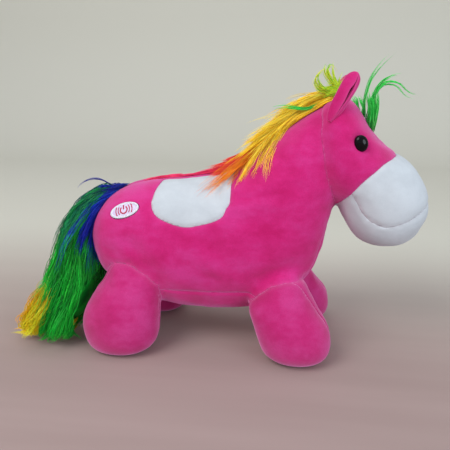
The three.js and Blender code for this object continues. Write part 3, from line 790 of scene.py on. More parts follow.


# Each leg's body, and the two heights between which its panels were to pass from the torso's motion to that body's; the
# loop below reads none of them, and only bakes the panels in place and hides their CAD nodes.
LEG_BODY = {
    "hind_leg_right": ("right_hind_leg", 66, 28),
    "hind_leg_left": ("left_hind_leg", 66, 28),
    "front_leg_right": ("right_front_leg", 48, 14),
    "front_leg_left": ("left_front_leg", 48, 14),
}
for leg, (body, from_z, to_z) in LEG_BODY.items():
    rows, _, side, _, _ = LEGS[leg]
    for panel in ("outer", "inner"):
        piece = pieces[f"{leg}_{panel}_cloth"]
        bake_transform(piece)
        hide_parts(f"{leg}_{panel}")
    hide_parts(f"{leg}_stuffing")

for name in ("side_panel_right", "side_panel_left", "saddle_patch_right", "saddle_patch_left", "belly_gusset"):
    carry(pieces[f"{name}_cloth"], "torso", name)
for name in ("cheek_panel_right", "cheek_panel_left", "muzzle_panel", "chin_panel"):
    carry(pieces[f"{name}_cloth"], "torso", name)
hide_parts("torso_stuffing")
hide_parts("head_stuffing")
carry(pieces["belly_flap_cloth"], "flap", "belly_flap")


# ---- hair
def strands(name, paths, widths, shades, material, body, nodes, core=None):
    """Closed, tapered strands as one piece. Their colour is read from a map: across it the strand's
    shade, up it the way from root to tip."""
    count, steps = paths.shape[:2]
    forward = unit(np.gradient(paths, axis=1))
    first = unit(np.cross(forward, rng.normal(size=(count, 1, 3))))
    second = np.cross(forward, first)
    t = np.linspace(0, 1, steps)
    taper = (0.75 + 0.5 * np.sin(t * math.pi) - 0.25 * t) * np.sqrt(1.02 - t**2.5)
    half = widths[:, None] / 2 * taper[None, :]
    thirds = (0, 2 * math.pi / 3, 4 * math.pi / 3)
    points = np.stack([paths + half[..., None] * (math.cos(a) * first + math.sin(a) * second) for a in thirds], 2)
    points[..., 2] = np.maximum(points[..., 2], LOWEST_HAIR)
    points = points.reshape(-1, 3)
    grid = ring_grid(steps, 3)
    faces = (grid[None] + np.arange(count)[:, None, None] * steps * 3).reshape(-1, 3)
    map_u = np.repeat(shades, steps * 3)
    map_v = np.tile(np.repeat(t, 3), count)
    if core is not None:
        core_points, core_faces, core_u, core_v = core
        faces = np.vstack([faces, core_faces + len(points)])
        points = np.vstack([points, core_points])
        map_u, map_v = np.concatenate([map_u, core_u]), np.concatenate([map_v, core_v])
    piece = mesh_piece(name, points, faces)
    layer = piece.data.uv_layers.new(name="OFBake")
    loops = np.zeros(len(piece.data.loops), int)
    piece.data.loops.foreach_get("vertex_index", loops)
    places = np.stack([map_u[loops], map_v[loops]], -1) * 0.96 + 0.02
    layer.data.foreach_set("uv", places.astype(np.float32).ravel())
    dress(piece, material)
    carry(piece, body, *nodes)


def fur(name, across, root=0.6, tip=1.25, sheen=0.6):
    """Silky long pile. across gives the dye by shade; the roots are painted darker, as painted shade, and the tips
    lighter, as painted light.
    """
    material, tree, shader = new_material(
        name,
        Roughness=0.45,
        Specular_IOR_Level=0.3,
        Sheen_Weight=sheen,
        Sheen_Roughness=0.6,
        Sheen_Tint=linear(across[-1][1]),
    )
    place = add(tree, "ShaderNodeUVMap", "UV", {}, uv_map="OFBake")
    map_u, map_v = (add(tree, "ShaderNodeSeparateXYZ", axis, {0: place}) for axis in ("X", "Y"))
    dye = dyes(tree, map_u, across)
    # Painted shade at the roots and painted light at the tips, along each strand.
    shade = greys(tree, map_v, [(0.0, root), (0.3, 1), (1.0, tip)])
    streak = noise_node(tree, stretched(tree, place, (60, 0.6, 1)), 3, 2, 0.6)
    streak = greys(tree, streak, [(0.3, 0.8), (0.7, 1.2)])
    paint(tree, shader, mixed(tree, "MULTIPLY", 1.0, mixed(tree, "MULTIPLY", 1.0, dye, shade), streak))
    return material


def wisps(guides, per_wisp, steps, root_spread, tip_spread, length=(0.7, 1.0), wave=0.8):
    """Strand paths. Each guide is one wisp; its strands start spread out and gather towards its tip."""
    out = []
    t = np.linspace(0, 1, steps)
    for guide in guides:
        line = spline(guide, 8)
        reach = rng.uniform(*length, per_wisp)
        place = along(line, reach[:, None] * t[None, :])
        spread = unit(rng.normal(size=(per_wisp, 1, 3)))
        spread *= rng.random((per_wisp, 1, 1)) ** 0.5
        blend = (t**0.9)[None, :, None]
        wander = rng.normal(size=(per_wisp, 1, 3))
        turn = rng.uniform(0, 2 * math.pi, (per_wisp, 1, 1))
        swing = np.sin(2 * math.pi * 0.9 * t[None, :, None] + turn) - np.sin(turn)
        gathered = root_spread * (1 - blend) + tip_spread * blend
        out.append(place + spread * gathered + wander * swing * wave * blend)
    return np.concatenate(out)


# How high the hair lies over the forms beside the back seam, and on it.
MANE_RISE, TAIL_RISE = (-0.3, -1.2), (0.5, 0.5)


def outside(paths, beside, middle):
    """Moves points of hair that lie under the torso's or the head's form up to a height over it,
    middle over the sunk seam along the pony's back and beside elsewhere."""
    flat = paths.reshape(-1, 3)
    rise = beside + (middle - beside) * np.exp(-((flat[:, 1] / 2.5) ** 2))
    for form in ("torso", "head"):
        points, faces = forms[form]
        a, b, c = (points[faces[:, k]] for k in range(3))
        outward = np.sign((a * np.cross(b, c)).sum())
        near = np.flatnonzero(((flat > points.min(0) - 1) & (flat < points.max(0) + 1)).all(1))
        for k in near.tolist():
            surface, normal, _, _ = trees[form].find_nearest(flat[k])
            height = (Vector(flat[k]) - surface).dot(normal) * outward
            if height < rise[k]:
                flat[k] += np.array(normal) * outward * (rise[k] - height)
    return flat.reshape(paths.shape)


# ---- tail: strands that flow along a body of hair
# Its middle line from root to tip, X, Y and Z, then its half height's X, its half width and its half
# height's Z.
TAIL = spline(
    [
        (-103, 0, 156.5, 3, 7, 3),
        (-115, 0, 149, -1, 13, 8),
        (-129, -2, 139, -4, 18, 13),
        (-141, -6, 119, -10, 23, 17),
        (-149, -11, 97, -16, 26, 15),
        (-153, -18, 70, -21, 28, 12),
        (-162, -26, 43, -25, 29, 9),
        (-172, -33, 20, -29, 28, 6),
        (-178, -36, 8, -29, 24, 2),
    ],
    12,
)


# The room that hair leaves behind the hind leg, and how much more it leaves per millimetre below the hip.
LEG_ROOM, LEG_GIVE, HIP_Z = 2.5, 0.09, 82


def off_the_leg(paths):
    """Moves points of hair back from the right hind leg, by the room its give needs."""
    z, y = paths[..., 2], paths[..., 1]
    rows = np.array(HIND_LEG)[::-1]
    middle, half_x, leg_y, half = (np.interp(z, rows[:, 0], rows[:, k]) for k in (1, 3, 2, 4))
    across = np.clip(np.abs(y + leg_y) / half, 0, 1)
    rear = middle - half_x * (1 - across**LEG_SQUARENESS) ** (1 / LEG_SQUARENESS)
    limit = rear - LEG_ROOM - LEG_GIVE * np.clip(HIP_Z - z, 0, None)
    beside = (z < 90) & (across < 1)
    x = paths[..., 0]
    paths[..., 0] = np.where(beside & (x > limit), limit + (x - limit) * -0.1, x)
    return paths


def tail_flow(starts, lengths, disc, steps, swing):
    """Paths that keep their place across the tail while they run along it. disc and swing hold
    a place and a sideways wave for every step of every strand."""
    t = np.linspace(0, 1, steps)[None, :]
    s = starts[:, None] + lengths[:, None] * t
    row = along(TAIL, s)
    u, v = disc[..., 0] + swing[..., 0], disc[..., 1] + swing[..., 1]
    tall = np.stack([row[..., 3], np.zeros_like(u), row[..., 5]], -1)
    paths = row[..., :3] + u[..., None] * tall
    paths[..., 1] += v * row[..., 4]
    over = np.clip(s - 1, 0, None)
    paths[..., 0] -= over * 60 * (0.4 + np.clip(u, 0, 1))
    paths[..., 1] -= over * 40
    return off_the_leg(paths)


def tail_locks(count, per_lock, roots, span, place, steps=9, drift=0.0, stray=0.09):
    """Locks rooted between two places along the tail. place(count) gives each lock's place across
    it, and the strands of a lock draw together towards its tip."""
    t = np.linspace(0, 1, steps)
    root = rng.uniform(*roots, count)
    centre = place(count)
    gather = rng.normal(size=(count, per_lock, 1, 2)) * (0.12 - 0.085 * t[:, None] ** 0.7)
    outward = rng.normal(drift, 0.07, (count, 1, 1, 1)) + (rng.random((count, 1, 1, 1)) < stray) * 0.3
    disc = centre[:, None, None, :] * (1 + outward * t[:, None]) + gather
    turn, beat = rng.uniform(0, 2 * math.pi, (2, count, 1, 1, 1))
    rate = 0.8 + beat / 7
    wave = np.sin(2 * math.pi * rate * t[:, None] + turn) - np.sin(turn)
    swing = rng.normal(size=(count, 1, 1, 2)) * 0.08 * wave
    swing = swing + rng.normal(size=(count, per_lock, 1, 2)) * 0.02 * wave
    starts = (root[:, None] + rng.normal(size=(count, per_lock)) * 0.015).clip(0, 1)
    lengths = span * rng.uniform(0.75, 1.15, (count, 1)) * rng.uniform(0.8, 1.05, (count, per_lock))
    disc, swing = disc.reshape(-1, steps, 2), swing.reshape(-1, steps, 2)
    paths = tail_flow(starts.ravel(), lengths.ravel(), disc, steps, swing)
    lock_shade = np.repeat(rng.random(count), per_lock)
    return paths, lock_shade * 0.7 + rng.random(count * per_lock) * 0.3, np.repeat(centre[:, 0], per_lock)


def across_tail(turn_from, turn_to, inner, outer):
    """Places across the tail between two turns, 0 on the outer side, 180 on the body's side and
    270 on the right."""

    def place(count):
        turn = np.radians(rng.uniform(turn_from, turn_to, count))
        out = inner + (outer - inner) * rng.random(count) ** 0.5
        return np.stack([out * np.cos(turn), out * np.sin(turn)], -1)

    return place


def tail_core(from_s, to_s, size, sides=24, rings=14):
    """The dense middle of the tail between two places along it."""
    s = np.linspace(from_s, to_s, rings)
    row = along(TAIL, s)
    ends = np.sqrt(np.clip(1 - (np.abs(np.linspace(-1, 1, rings)) ** 8), 0.02, 1))
    angle = circle(sides)
    tall = np.stack([row[:, 3], np.zeros(rings), row[:, 5]], -1)
    wide = np.stack([np.zeros(rings), row[:, 4], np.zeros(rings)], -1)
    k = (size * ends)[:, None, None]
    cos, sin = np.cos(angle)[None, :, None], np.sin(angle)[None, :, None]
    points = (row[:, None, :3] + k * (cos * tall[:, None] + sin * wide[:, None])).reshape(-1, 3)
    points += rng.normal(size=points.shape) * 0.4
    points[:, 2] = np.maximum(points[:, 2], 1.0)
    return points, ring_grid(rings, sides)[:, ::-1], rng.random(len(points)), np.full(len(points), 0.4)


blue_fur = fur(
    "blue_fur", [(0.0, (4, 6, 92)), (0.45, (6, 22, 168)), (0.8, (14, 52, 192)), (1.0, (8, 88, 140))], sheen=0.25
)
teal_fur = fur(
    "teal_fur",
    [(0.0, (0, 70, 92)), (0.35, (0, 112, 80)), (0.7, (4, 150, 66)), (1.0, (50, 184, 120))],
    root=0.5,
    sheen=0.25,
)
green_fur = fur(
    "green_fur",
    [(0.0, (0, 78, 36)), (0.3, (0, 140, 42)), (0.7, (4, 194, 50)), (1.0, (80, 232, 80))],
    root=0.45,
    sheen=0.25,
)
tip_fur = fur(
    "tip_fur",
    [(0.0, (150, 215, 40)), (0.3, (225, 228, 34)), (0.7, (255, 205, 20)), (1.0, (255, 160, 20))],
    root=0.9,
    tip=1.35,
)


def tail_hair(name, sets, material, nodes, core=None, widths=(0.38, 0.75)):
    """A piece of the tail. Each set: locks, strands in a lock, their roots, their length, their place
    across the tail."""
    made = [tail_locks(*arguments) for arguments in sets]
    paths = outside(np.concatenate([m[0] for m in made]), *TAIL_RISE)
    shades = np.concatenate([m[1] for m in made])
    strands(name, paths, rng.uniform(*widths, len(paths)), shades, material, "tail", nodes, core)


tail_hair(
    "tail_hair_blue_fur",
    [
        (120, 13, (0.0, 0.16), 0.34, across_tail(95, 275, 0.3, 1.02)),
        (44, 13, (0.0, 0.1), 0.27, across_tail(-85, 85, 0.3, 1.0)),
        (80, 13, (0.0, 0.14), 0.42, across_tail(185, 268, 0.85, 1.12)),
        (10, 12, (0.04, 0.16), 0.46, across_tail(285, 335, 0.7, 1.06)),
    ],
    blue_fur, ("tail_hair_blue",), tail_core(0.03, 0.3, 0.82),
)
tail_hair(
    "tail_hair_teal_fur",
    [
        (120, 14, (0.15, 0.32), 0.34, across_tail(-80, 80, 0.5, 1.1)),
        (60, 14, (0.24, 0.4), 0.3, across_tail(100, 250, 0.5, 1.02)),
    ],
    teal_fur, (),
)
tail_hair(
    "tail_hair_green_fur",
    [
        (170, 13, (0.26, 0.62), 0.4, across_tail(-100, 100, 0.5, 1.03)),
        (100, 13, (0.36, 0.66), 0.4, across_tail(120, 270, 0.5, 1.03)),
    ],
    green_fur, ("tail_hair_green",), tail_core(0.27, 0.86, 0.84),
)
tail_hair(
    "tail_hair_inner_fur",
    [(90, 13, (0.4, 0.78), 0.3, across_tail(170, 285, 0.9, 1.06))],
    green_fur, (),
)
tail_hair(
    "tail_hair_yellow_fur",
    [
        (130, 17, (0.7, 0.88), 0.21, across_tail(-80, 30, 0.4, 1.05)),
        (14, 12, (0.78, 0.92), 0.16, across_tail(30, 180, 0.5, 1.0)),
    ],
    tip_fur, ("tail_hair_yellow",), tail_core(0.84, 0.97, 0.6), (0.3, 0.58),
)
STRAY = [(-118, -3, 158), (-126, -5, 163), (-134, -6, 164.5), (-142, -6, 163), (-149, -6, 159), (-154, -6, 154)]
stray_paths = wisps([STRAY], 9, 14, 1.2, 0.5, (0.75, 1.0), 0.5)
stray_widths, stray_shades = rng.uniform(0.3, 0.5, len(stray_paths)), rng.random(len(stray_paths))
strands("tail_stray_fur", stray_paths, stray_widths, stray_shades, blue_fur, "tail", ())


# ---- mane: wisps rooted along the crest
WISP_STEPS = 12


def wisp_family(guides, copies, jitter, fan):
    """Copies of guide wisps, each turned and moved a little."""
    out = []
    for guide in guides:
        guide = np.asarray(guide, float)
        for _ in range(copies):
            root = rng.normal(size=3) * jitter
            slant = rng.normal(size=3) * fan
            t = np.linspace(0, 1, len(guide))[:, None]
            out.append(guide + root + slant * t)
    return out


lime_fur = fur(
    "lime_fur", [(0.0, (60, 200, 56)), (0.35, (170, 225, 46)), (0.7, (222, 235, 50)), (1.0, (255, 240, 70))], root=0.75
)
forelock_fur = fur("forelock_fur", [(0.0, (0, 160, 56)), (0.5, (24, 222, 76)), (1.0, (110, 245, 120))], root=0.85)
crest_fur = fur(
    "crest_fur", [(0.0, (255, 178, 16)), (0.35, (255, 215, 24)), (1.0, (255, 240, 96))], root=1.0, tip=1.4
)
withers_fur = fur("withers_fur", [(0.0, (236, 30, 92)), (0.6, (246, 56, 76)), (1.0, (255, 110, 50))], root=0.95)
orange_fur = fur("orange_fur", [(0.0, (250, 84, 44)), (0.5, (255, 130, 30)), (1.0, (255, 180, 40))], root=0.95)
crimson_fur = fur("crimson_fur", [(0.0, (236, 30, 96)), (1.0, (250, 70, 124))], root=1.0)


def mane_piece(name, widths, material, slot, nodes, *families):
    """A piece of the mane. Each family: copies of its guide wisps, how far the copies' roots and tips
    stray, strands in a wisp, their spread at root and tip, their wave, and the guides."""
    made = []
    for copies, jitter, fan, count, root_spread, tip_spread, wave, guides in families:
        family = wisp_family(guides, copies, jitter, fan)
        made.append(wisps(family, count, WISP_STEPS, root_spread, tip_spread, wave=wave))
    paths = outside(np.concatenate(made), *MANE_RISE)
    shades = rng.random(len(paths))
    strands(name, paths, rng.uniform(*widths, len(paths)), shades, material, "torso", nodes)


mane_piece(
    "forelock_fur", (0.3, 0.6), forelock_fur, "hair_green", ("forelock",),
    (2, 0.6, 1.0, 9, 1.5, 0.3, 0.3, [
        [(130.5, -2, 229), (129, -3, 240), (130.5, -4, 252), (134, -2, 263), (142, 0, 275), (155, 0, 288)],
    ]),
    (3, 0.7, 1.2, 9, 1.6, 0.3, 0.4, [
        [(134.5, -2, 223), (135, -4, 240), (138, -5, 251), (143, -4, 260), (151, -3, 265.5), (161, -2, 267)],
        [(135.5, -2, 223), (136, -4, 242), (141, -5, 254), (148, -4, 260), (158, -4, 258.5), (166, -4, 251),
         (175, -3, 248)],
    ]),
    (8, 1.2, 1.8, 16, 1.9, 0.7, 0.4, [
        [(136.5, 0, 216), (137.5, -4, 227), (137.5, -6, 239), (135.5, -6, 250)],
        [(135.5, 0, 217), (138.5, -2, 228), (139, -4, 241), (137.5, -5, 255)],
    ]),
    (3, 1.0, 1.4, 14, 1.8, 0.6, 0.4, [
        [(132.5, 0, 223), (134.5, -3, 234), (132.5, -5, 243), (130, -5, 250)],
        [(128.5, 2, 228), (129.5, -2, 237), (126.5, -4, 243), (124, -3, 248)],
        [(124.5, 0, 235), (123.5, -3, 240), (122, -3, 245), (118, -2, 248)],
    ]),
)
mane_piece(
    "poll_tuft_fur", (0.3, 0.62), lime_fur, "hair_lime", ("poll_tuft",),
    (3, 1.0, 1.6, 11, 2.2, 0.6, 0.5, [
        [(115, 0, 247), (106, -2, 253), (98.5, -3, 262), (94.5, -3, 270), (97, -2, 275), (103, -1, 270)],
        [(112, 0, 247), (99, -3, 250.5), (89.5, -4, 255), (84, -4, 262), (86.5, -3, 268), (93.5, -2, 272.5)],
        [(113, 0, 247), (105, -2, 257), (101, -2, 266), (100.5, -1, 276)],
        [(109, 0, 247), (95, -3, 251), (88, -4, 253.5), (84, -4, 259)],
        [(117, 3, 246), (110, 4, 253), (108.5, 4, 260), (112, 5, 267)],
    ]),
    (6, 1.5, 2.4, 15, 2.6, 1.2, 0.5, [
        [(110, 0, 248), (103, -3, 252), (95, -4, 252), (88, -5, 250)],
        [(114, 1, 248), (106, -1, 254), (98, -2, 256), (91, -3, 254)],
    ]),
)
mane_piece(
    "crest_mane_fur", (0.32, 0.62), crest_fur, "hair_yellow", ("crest_mane",),
    (15, 1.9, 3.2, 12, 2.5, 1.3, 0.8, [
        [(106, 2, 248), (96, 2, 247), (84, 3, 243), (72, 3, 237), (60, 3, 231)],
        [(98, 2, 246), (86, 3, 242), (73, 4, 236), (60, 4, 227), (48, 3, 219)],
        [(88, 2, 241), (76, 3, 236), (62, 3, 228), (48, 2, 219), (36, 0, 211)],
        [(78, 1, 235), (65, 2, 229), (51, 1, 220), (38, -1, 211), (25, -4, 202)],
        [(68, 1, 229), (55, 1, 222), (42, -1, 213), (29, -4, 203), (16, -8, 194)],
        [(58, 1, 221), (46, 0, 214), (34, -4, 205), (22, -8, 196), (10, -12, 187)],
        [(92, 5, 243), (80, 8, 240), (66, 10, 234), (53, 10, 226)],
        [(76, 5, 234), (63, 9, 229), (50, 11, 221), (37, 11, 212)],
        [(60, 5, 222), (48, 10, 214), (36, 13, 205), (24, 14, 196)],
        [(100, 3, 247), (88, 4, 246), (76, 4, 242), (64, 4, 236)],
        [(84, 3, 240), (71, 4, 237), (59, 3, 231), (47, 2, 223)],
    ]),
    (13, 1.2, 1.3, 9, 1.6, 0.5, 0.4, [
        [(110, -1, 246), (99, -4, 244), (88, -5, 239), (77, -6, 232)],
        [(98, -1, 244), (87, -4, 239), (76, -6, 232), (65, -6, 225)],
        [(87, -1, 239), (76, -4, 233), (65, -6, 225), (54, -8, 215)],
        [(76, -1, 233), (65, -4, 226), (54, -7, 216), (44, -11, 205)],
        [(66, -1, 227), (56, -4, 219), (46, -8, 209), (37, -12, 199)],
    ]),
    (14, 2.0, 6.5, 3, 1.2, 0.5, 1.0, [
        [(96, 2, 246), (82, 3, 243), (68, 3, 238), (56, 3, 230)],
        [(80, 2, 237), (66, 3, 233), (52, 2, 226), (38, 0, 216)],
        [(64, 1, 227), (50, 1, 221), (36, -1, 212), (22, -3, 202)],
    ]),
)
mane_piece(
    "falling_wisps_fur", (0.24, 0.46), crest_fur, "hair_yellow", (),
    (6, 2.2, 4.2, 4, 1.6, 0.6, 1.1, [
        [(62, -3, 225), (53, -14, 213), (45, -25, 199), (41, -34, 187), (38, -39, 177)],
        [(58, -3, 221), (50, -15, 209), (44, -26, 197), (43, -34, 187), (44, -38, 182)],
        [(54, -3, 217), (43, -15, 205), (35, -25, 192), (30, -32, 182), (28, -35, 176)],
        [(48, -4, 212), (37, -15, 200), (29, -24, 188), (24, -30, 180), (21, -33, 174)],
        [(43, -4, 207), (32, -16, 195), (24, -26, 183), (19, -33, 173), (16, -39, 165)],
    ]),
)
mane_piece(
    "crest_dark_strand_fur", (0.3, 0.6), forelock_fur, "hair_green", (),
    (2, 0.5, 1.0, 9, 1.0, 0.4, 0.4, [
        [(88, -4, 240), (78, -8, 236.5), (67, -9, 237.5), (56, -8, 239), (46, -7, 237)],
    ]),
)
mane_piece(
    "withers_mane_fur", (0.32, 0.62), withers_fur, "hair_orange", ("withers_mane",),
    (12, 1.8, 2.4, 12, 2.4, 1.3, 0.7, [
        [(52, 0, 215), (40, -3, 206), (28, -7, 196), (15, -11, 187), (2, -13, 179)],
        [(42, 0, 206), (30, -6, 197), (18, -11, 188), (6, -14, 180), (-6, -14, 174)],
        [(30, 0, 196), (20, -6, 190), (8, -10, 182), (-2, -12, 177), (-12, -12, 173)],
        [(20, 0, 190), (8, -4, 184), (-4, -6, 179), (-16, -6, 175)],
        [(32, 4, 197), (20, 8, 190), (8, 11, 182), (-2, 12, 176)],
        [(18, 4, 189), (8, 7, 183), (-4, 8, 178)],
    ]),
)
mane_piece(
    "withers_wisps_fur", (0.24, 0.46), orange_fur, "hair_orange", (),
    (6, 1.8, 3.6, 4, 1.6, 0.6, 0.9, [
        [(40, -4, 204), (30, -13, 195), (21, -21, 185), (12, -27, 175), (6, -31, 167)],
        [(34, -4, 200), (24, -12, 191), (14, -20, 182), (5, -26, 174), (-3, -30, 167)],
        [(26, -6, 194), (14, -16, 186), (2, -26, 177), (-10, -34, 167), (-21, -41, 157)],
        [(28, -6, 195), (17, -17, 186), (6, -27, 177), (-5, -35, 167), (-14, -39, 161)],
        [(30, -8, 195), (20, -19, 186), (10, -29, 177), (1, -35, 168), (-5, -38, 164)],
    ]),
)
mane_piece(
    "back_fringe_fur", (0.3, 0.6), crimson_fur, "hair_crimson", ("back_fringe",),
    (13, 0.9, 0.9, 11, 1.4, 0.7, 0.3, [
        [(6, 1, 178.5), (-6, 0, 176.2), (-18, 0, 173.6), (-30, 0, 171.2)],
        [(-12, 1, 174.2), (-24, 1, 172.6), (-36, 0, 170.4)],
        [(-28, 1, 171), (-40, 1, 169.8), (-52, 0, 168)],
        [(-44, 1, 169), (-56, 1, 167.8), (-68, 0, 165.6)],
        [(-60, 1, 166.8), (-70, 1, 165.6), (-82, 0, 163)],
    ]),
)


# ---- eyes
def turned(profile, sides=48):
    """Points and triangles of a profile of (radius, height) turned about the third axis."""
    profile = np.asarray(profile, float)
    angle = circle(sides)
    ring = np.stack([np.cos(angle), np.sin(angle)], -1)
    flat = profile[:, None, :1] * ring[None]
    high = np.broadcast_to(profile[:, None, 1:], flat.shape[:2] + (1,))
    return np.concatenate([flat, high], -1).reshape(-1, 3), ring_grid(len(profile), sides)


gloss, tree, shader = new_material("eye_gloss", Roughness=0.05, Specular_IOR_Level=0.2)
specks = noise_node(tree, object_place(tree), 220, 2)
paint(tree, shader, dyes(tree, specks, [(0.3, (3, 3, 5)), (0.7, (9, 8, 11))]))
EYE_TURN, EYE_BULGE = 0.16, 4.2


def eye(side):
    """A domed eye, turned a little to the front and slightly taller than it is long."""
    word = "right" if side < 0 else "left"
    turn = Matrix.Rotation(EYE_TURN if side < 0 else math.pi - EYE_TURN, 3, "Z") @ Matrix.Rotation(math.pi / 2, 3, "X")
    dome = [(0.05, -1.2), (EYE_RADIUS - 0.5, -1.2), (EYE_RADIUS, -0.5), (EYE_RADIUS, 0.1)]
    for angle in np.linspace(0.08, math.pi / 2, 14):
        dome.append((EYE_RADIUS * math.cos(angle) + 0.02, 0.2 + EYE_BULGE * math.sin(angle)))
    points, faces = turned(dome)
    tilt = np.array(Matrix.Rotation(-side * 0.35, 3, "Z"))
    points = (points * [0.9, 1.1, 1.0]) @ tilt.T
    points = points @ np.array(turn).T + EYE_AT[side]
    piece = mesh_piece(f"eye_{word}_dome", points, faces)
    dress(piece, gloss)
    carry(piece, "torso", f"eye_{word}")


for side in (-1, 1):
    eye(side)


# ---- ears
EAR_HEIGHT, EAR_OPENING = 46, 1.0
# How far an ear leans out and forward and turns, in radians. The left ear leans further forward.
EAR_OUT, EAR_FORWARD, EAR_TURN = 0.06, {-1: 0.47, 1: 0.54}, 0.12


def ear(side):
    """A leaf of plush folded along its middle, its edges meeting towards the face, lined inside."""
    word = "right" if side < 0 else "left"
    base = np.array([97, side * 34, 227.5])
    turn = Matrix.Rotation(side * EAR_OUT, 3, "X") @ Matrix.Rotation(EAR_FORWARD[side], 3, "Y")
    turn = turn @ Matrix.Rotation(side * EAR_TURN, 3, "Z")
    lengths, across = 44, 49
    s = np.linspace(0, 1, lengths)
    t = np.linspace(-1, 1, across)
    height = EAR_HEIGHT * np.sin(s * math.pi / 2) ** 1.1
    # share of the height, half depth, half width
    rows = [(0, 2.2, 1.8), (0.12, 4.8, 3.0), (0.3, 6.2, 4.0), (0.5, 6.7, 4.5), (0.7, 7.3, 4.6)]
    rows += [(0.83, 7.0, 4.3), (0.92, 5.6, 3.6), (0.98, 3.0, 2.0), (1, 0.8, 0.7)]
    outline = spline(rows, 8)
    deep, wide = (np.interp(height / height[-1], outline[:, 0], outline[:, k]) for k in (1, 2))
    gap = np.interp(height / height[-1], [0, 0.35, 0.5, 0.68, 0.8, 1], [0.0, 0.012, 0.045, 0.07, 0.02, 0.0])
    opening = -side * EAR_OPENING

    def layer(inset):
        angle = (math.pi * (1 - gap))[:, None] * t[None, :]
        curl = 0.8 * np.abs(t)[None, :] ** 8 * (inset == 0)
        x = -(np.maximum(deep - inset, 0.3)[:, None] + curl) * np.cos(angle + opening)
        y = (np.maximum(wide - inset, 0.25)[:, None] + curl) * power(np.sin(angle + opening), 0.8)
        z = height[:, None] + np.zeros_like(x)
        return np.stack([x, y, z], -1)

    def leaf(name, outer, inner):
        grid = np.concatenate([layer(outer), layer(inner)[:, ::-1]], 1)
        sides = grid.shape[1]
        points = grid.reshape(-1, 3)
        points = points + np.stack([noise(points, 9, k) for k in (5, 6, 7)], -1) * 0.3
        points = points @ np.array(turn).T + base
        piece = mesh_piece(name, points, ring_grid(lengths, sides))
        rounding = piece.modifiers.new("rounding", "SUBSURF")
        rounding.levels = rounding.render_levels = 1
        edge = np.abs(np.concatenate([t, t[::-1]]))
        # Painted light along the leaf's rounded edges.
        paint_seam_light(piece, np.tile(np.exp((edge - 1) * 14), lengths))
        dress(piece, pink_pile)
        return piece

    carry(leaf(f"ear_{word}_leaf", 0.0, 1.5), f"{word}_ear", f"ear_{word}")
    carry(leaf(f"ear_{word}_lining_leaf", 1.6, 2.6), f"{word}_ear", f"ear_lining_{word}")


for side in (-1, 1):
    ear(side)


# ---- press patch
RAY_FROM = 30.0


def patch_point(local):
    return local @ patch_axes.T + PATCH_AT


def patch_lift(flat):
    """Height of the flank under the patch, in the patch's frame."""
    start = patch_point(np.concatenate([flat, np.full((len(flat), 1), RAY_FROM)], 1))
    down = Vector(-patch_axes[:, 2])
    out = []
    for p in start.tolist():
        hit = trees["torso"].ray_cast(Vector(p), down)
        out.append(RAY_FROM - hit[3] if hit[0] is not None else 0.0)
    return np.array(out)


def oval_label(name, length, width, bottom, top, crown, sides=72):
    """The label of the press patch, slightly crowned, laid over the flank."""
    rings, angle = np.array([0.02, 0.35, 0.65, 0.9, 1.0]), circle(sides)
    flat = np.stack([np.outer(rings, np.cos(angle)) * length / 2, np.outer(rings, np.sin(angle)) * width / 2], -1)
    shape = flat.shape[:2]
    flat = flat.reshape(-1, 2)
    lift = patch_lift(flat)
    share = np.hypot(flat[:, 0] / (length / 2), flat[:, 1] / (width / 2))
    upper = np.concatenate([flat, (lift + top + crown * (1 - share**2))[:, None]], 1)
    lower = np.concatenate([flat, (lift + bottom)[:, None]], 1)
    order = [upper.reshape(*shape, 3), lower.reshape(*shape, 3)[::-1]]
    points = np.concatenate(order).reshape(-1, 3)
    piece = mesh_piece(name, patch_point(points), ring_grid(2 * shape[0], shape[1]))
    dress(piece, label_cloth)
    carry(piece, "press", "press_patch")


def woven(name, light, dark, sheen_colour, rough=0.45, scale=1400):
    """Woven cloth or thread: fine streaks along the weave."""
    tint = linear(sheen_colour)
    material, tree, shader = new_material(
        name, Roughness=rough, Sheen_Weight=0.4, Sheen_Roughness=0.3, Sheen_Tint=tint, Specular_IOR_Level=0.5
    )
    grain = stretched(tree, object_place(tree), (1, 0.25, 0.25), (0.6, 0.2, 0.4))
    threads = noise_node(tree, grain, scale, 2, 0.5)
    paint(tree, shader, dyes(tree, threads, [(0.3, dark), (0.7, light)]))
    bump(tree, shader, threads, 0.5, 0.0004)
    return material


label_cloth = woven("label_cloth", (224, 212, 238), (204, 190, 226), (255, 255, 255))
satin_thread = woven("satin_thread", (246, 246, 252), (214, 214, 230), (255, 255, 255), 0.35, 2200)
crimson_thread = woven("crimson_thread", (214, 24, 74), (168, 12, 54), (255, 120, 160), 0.4, 2200)
oval_label("press_patch_label", 29.8, 14.8, -1.3, 0.45, 0.5)


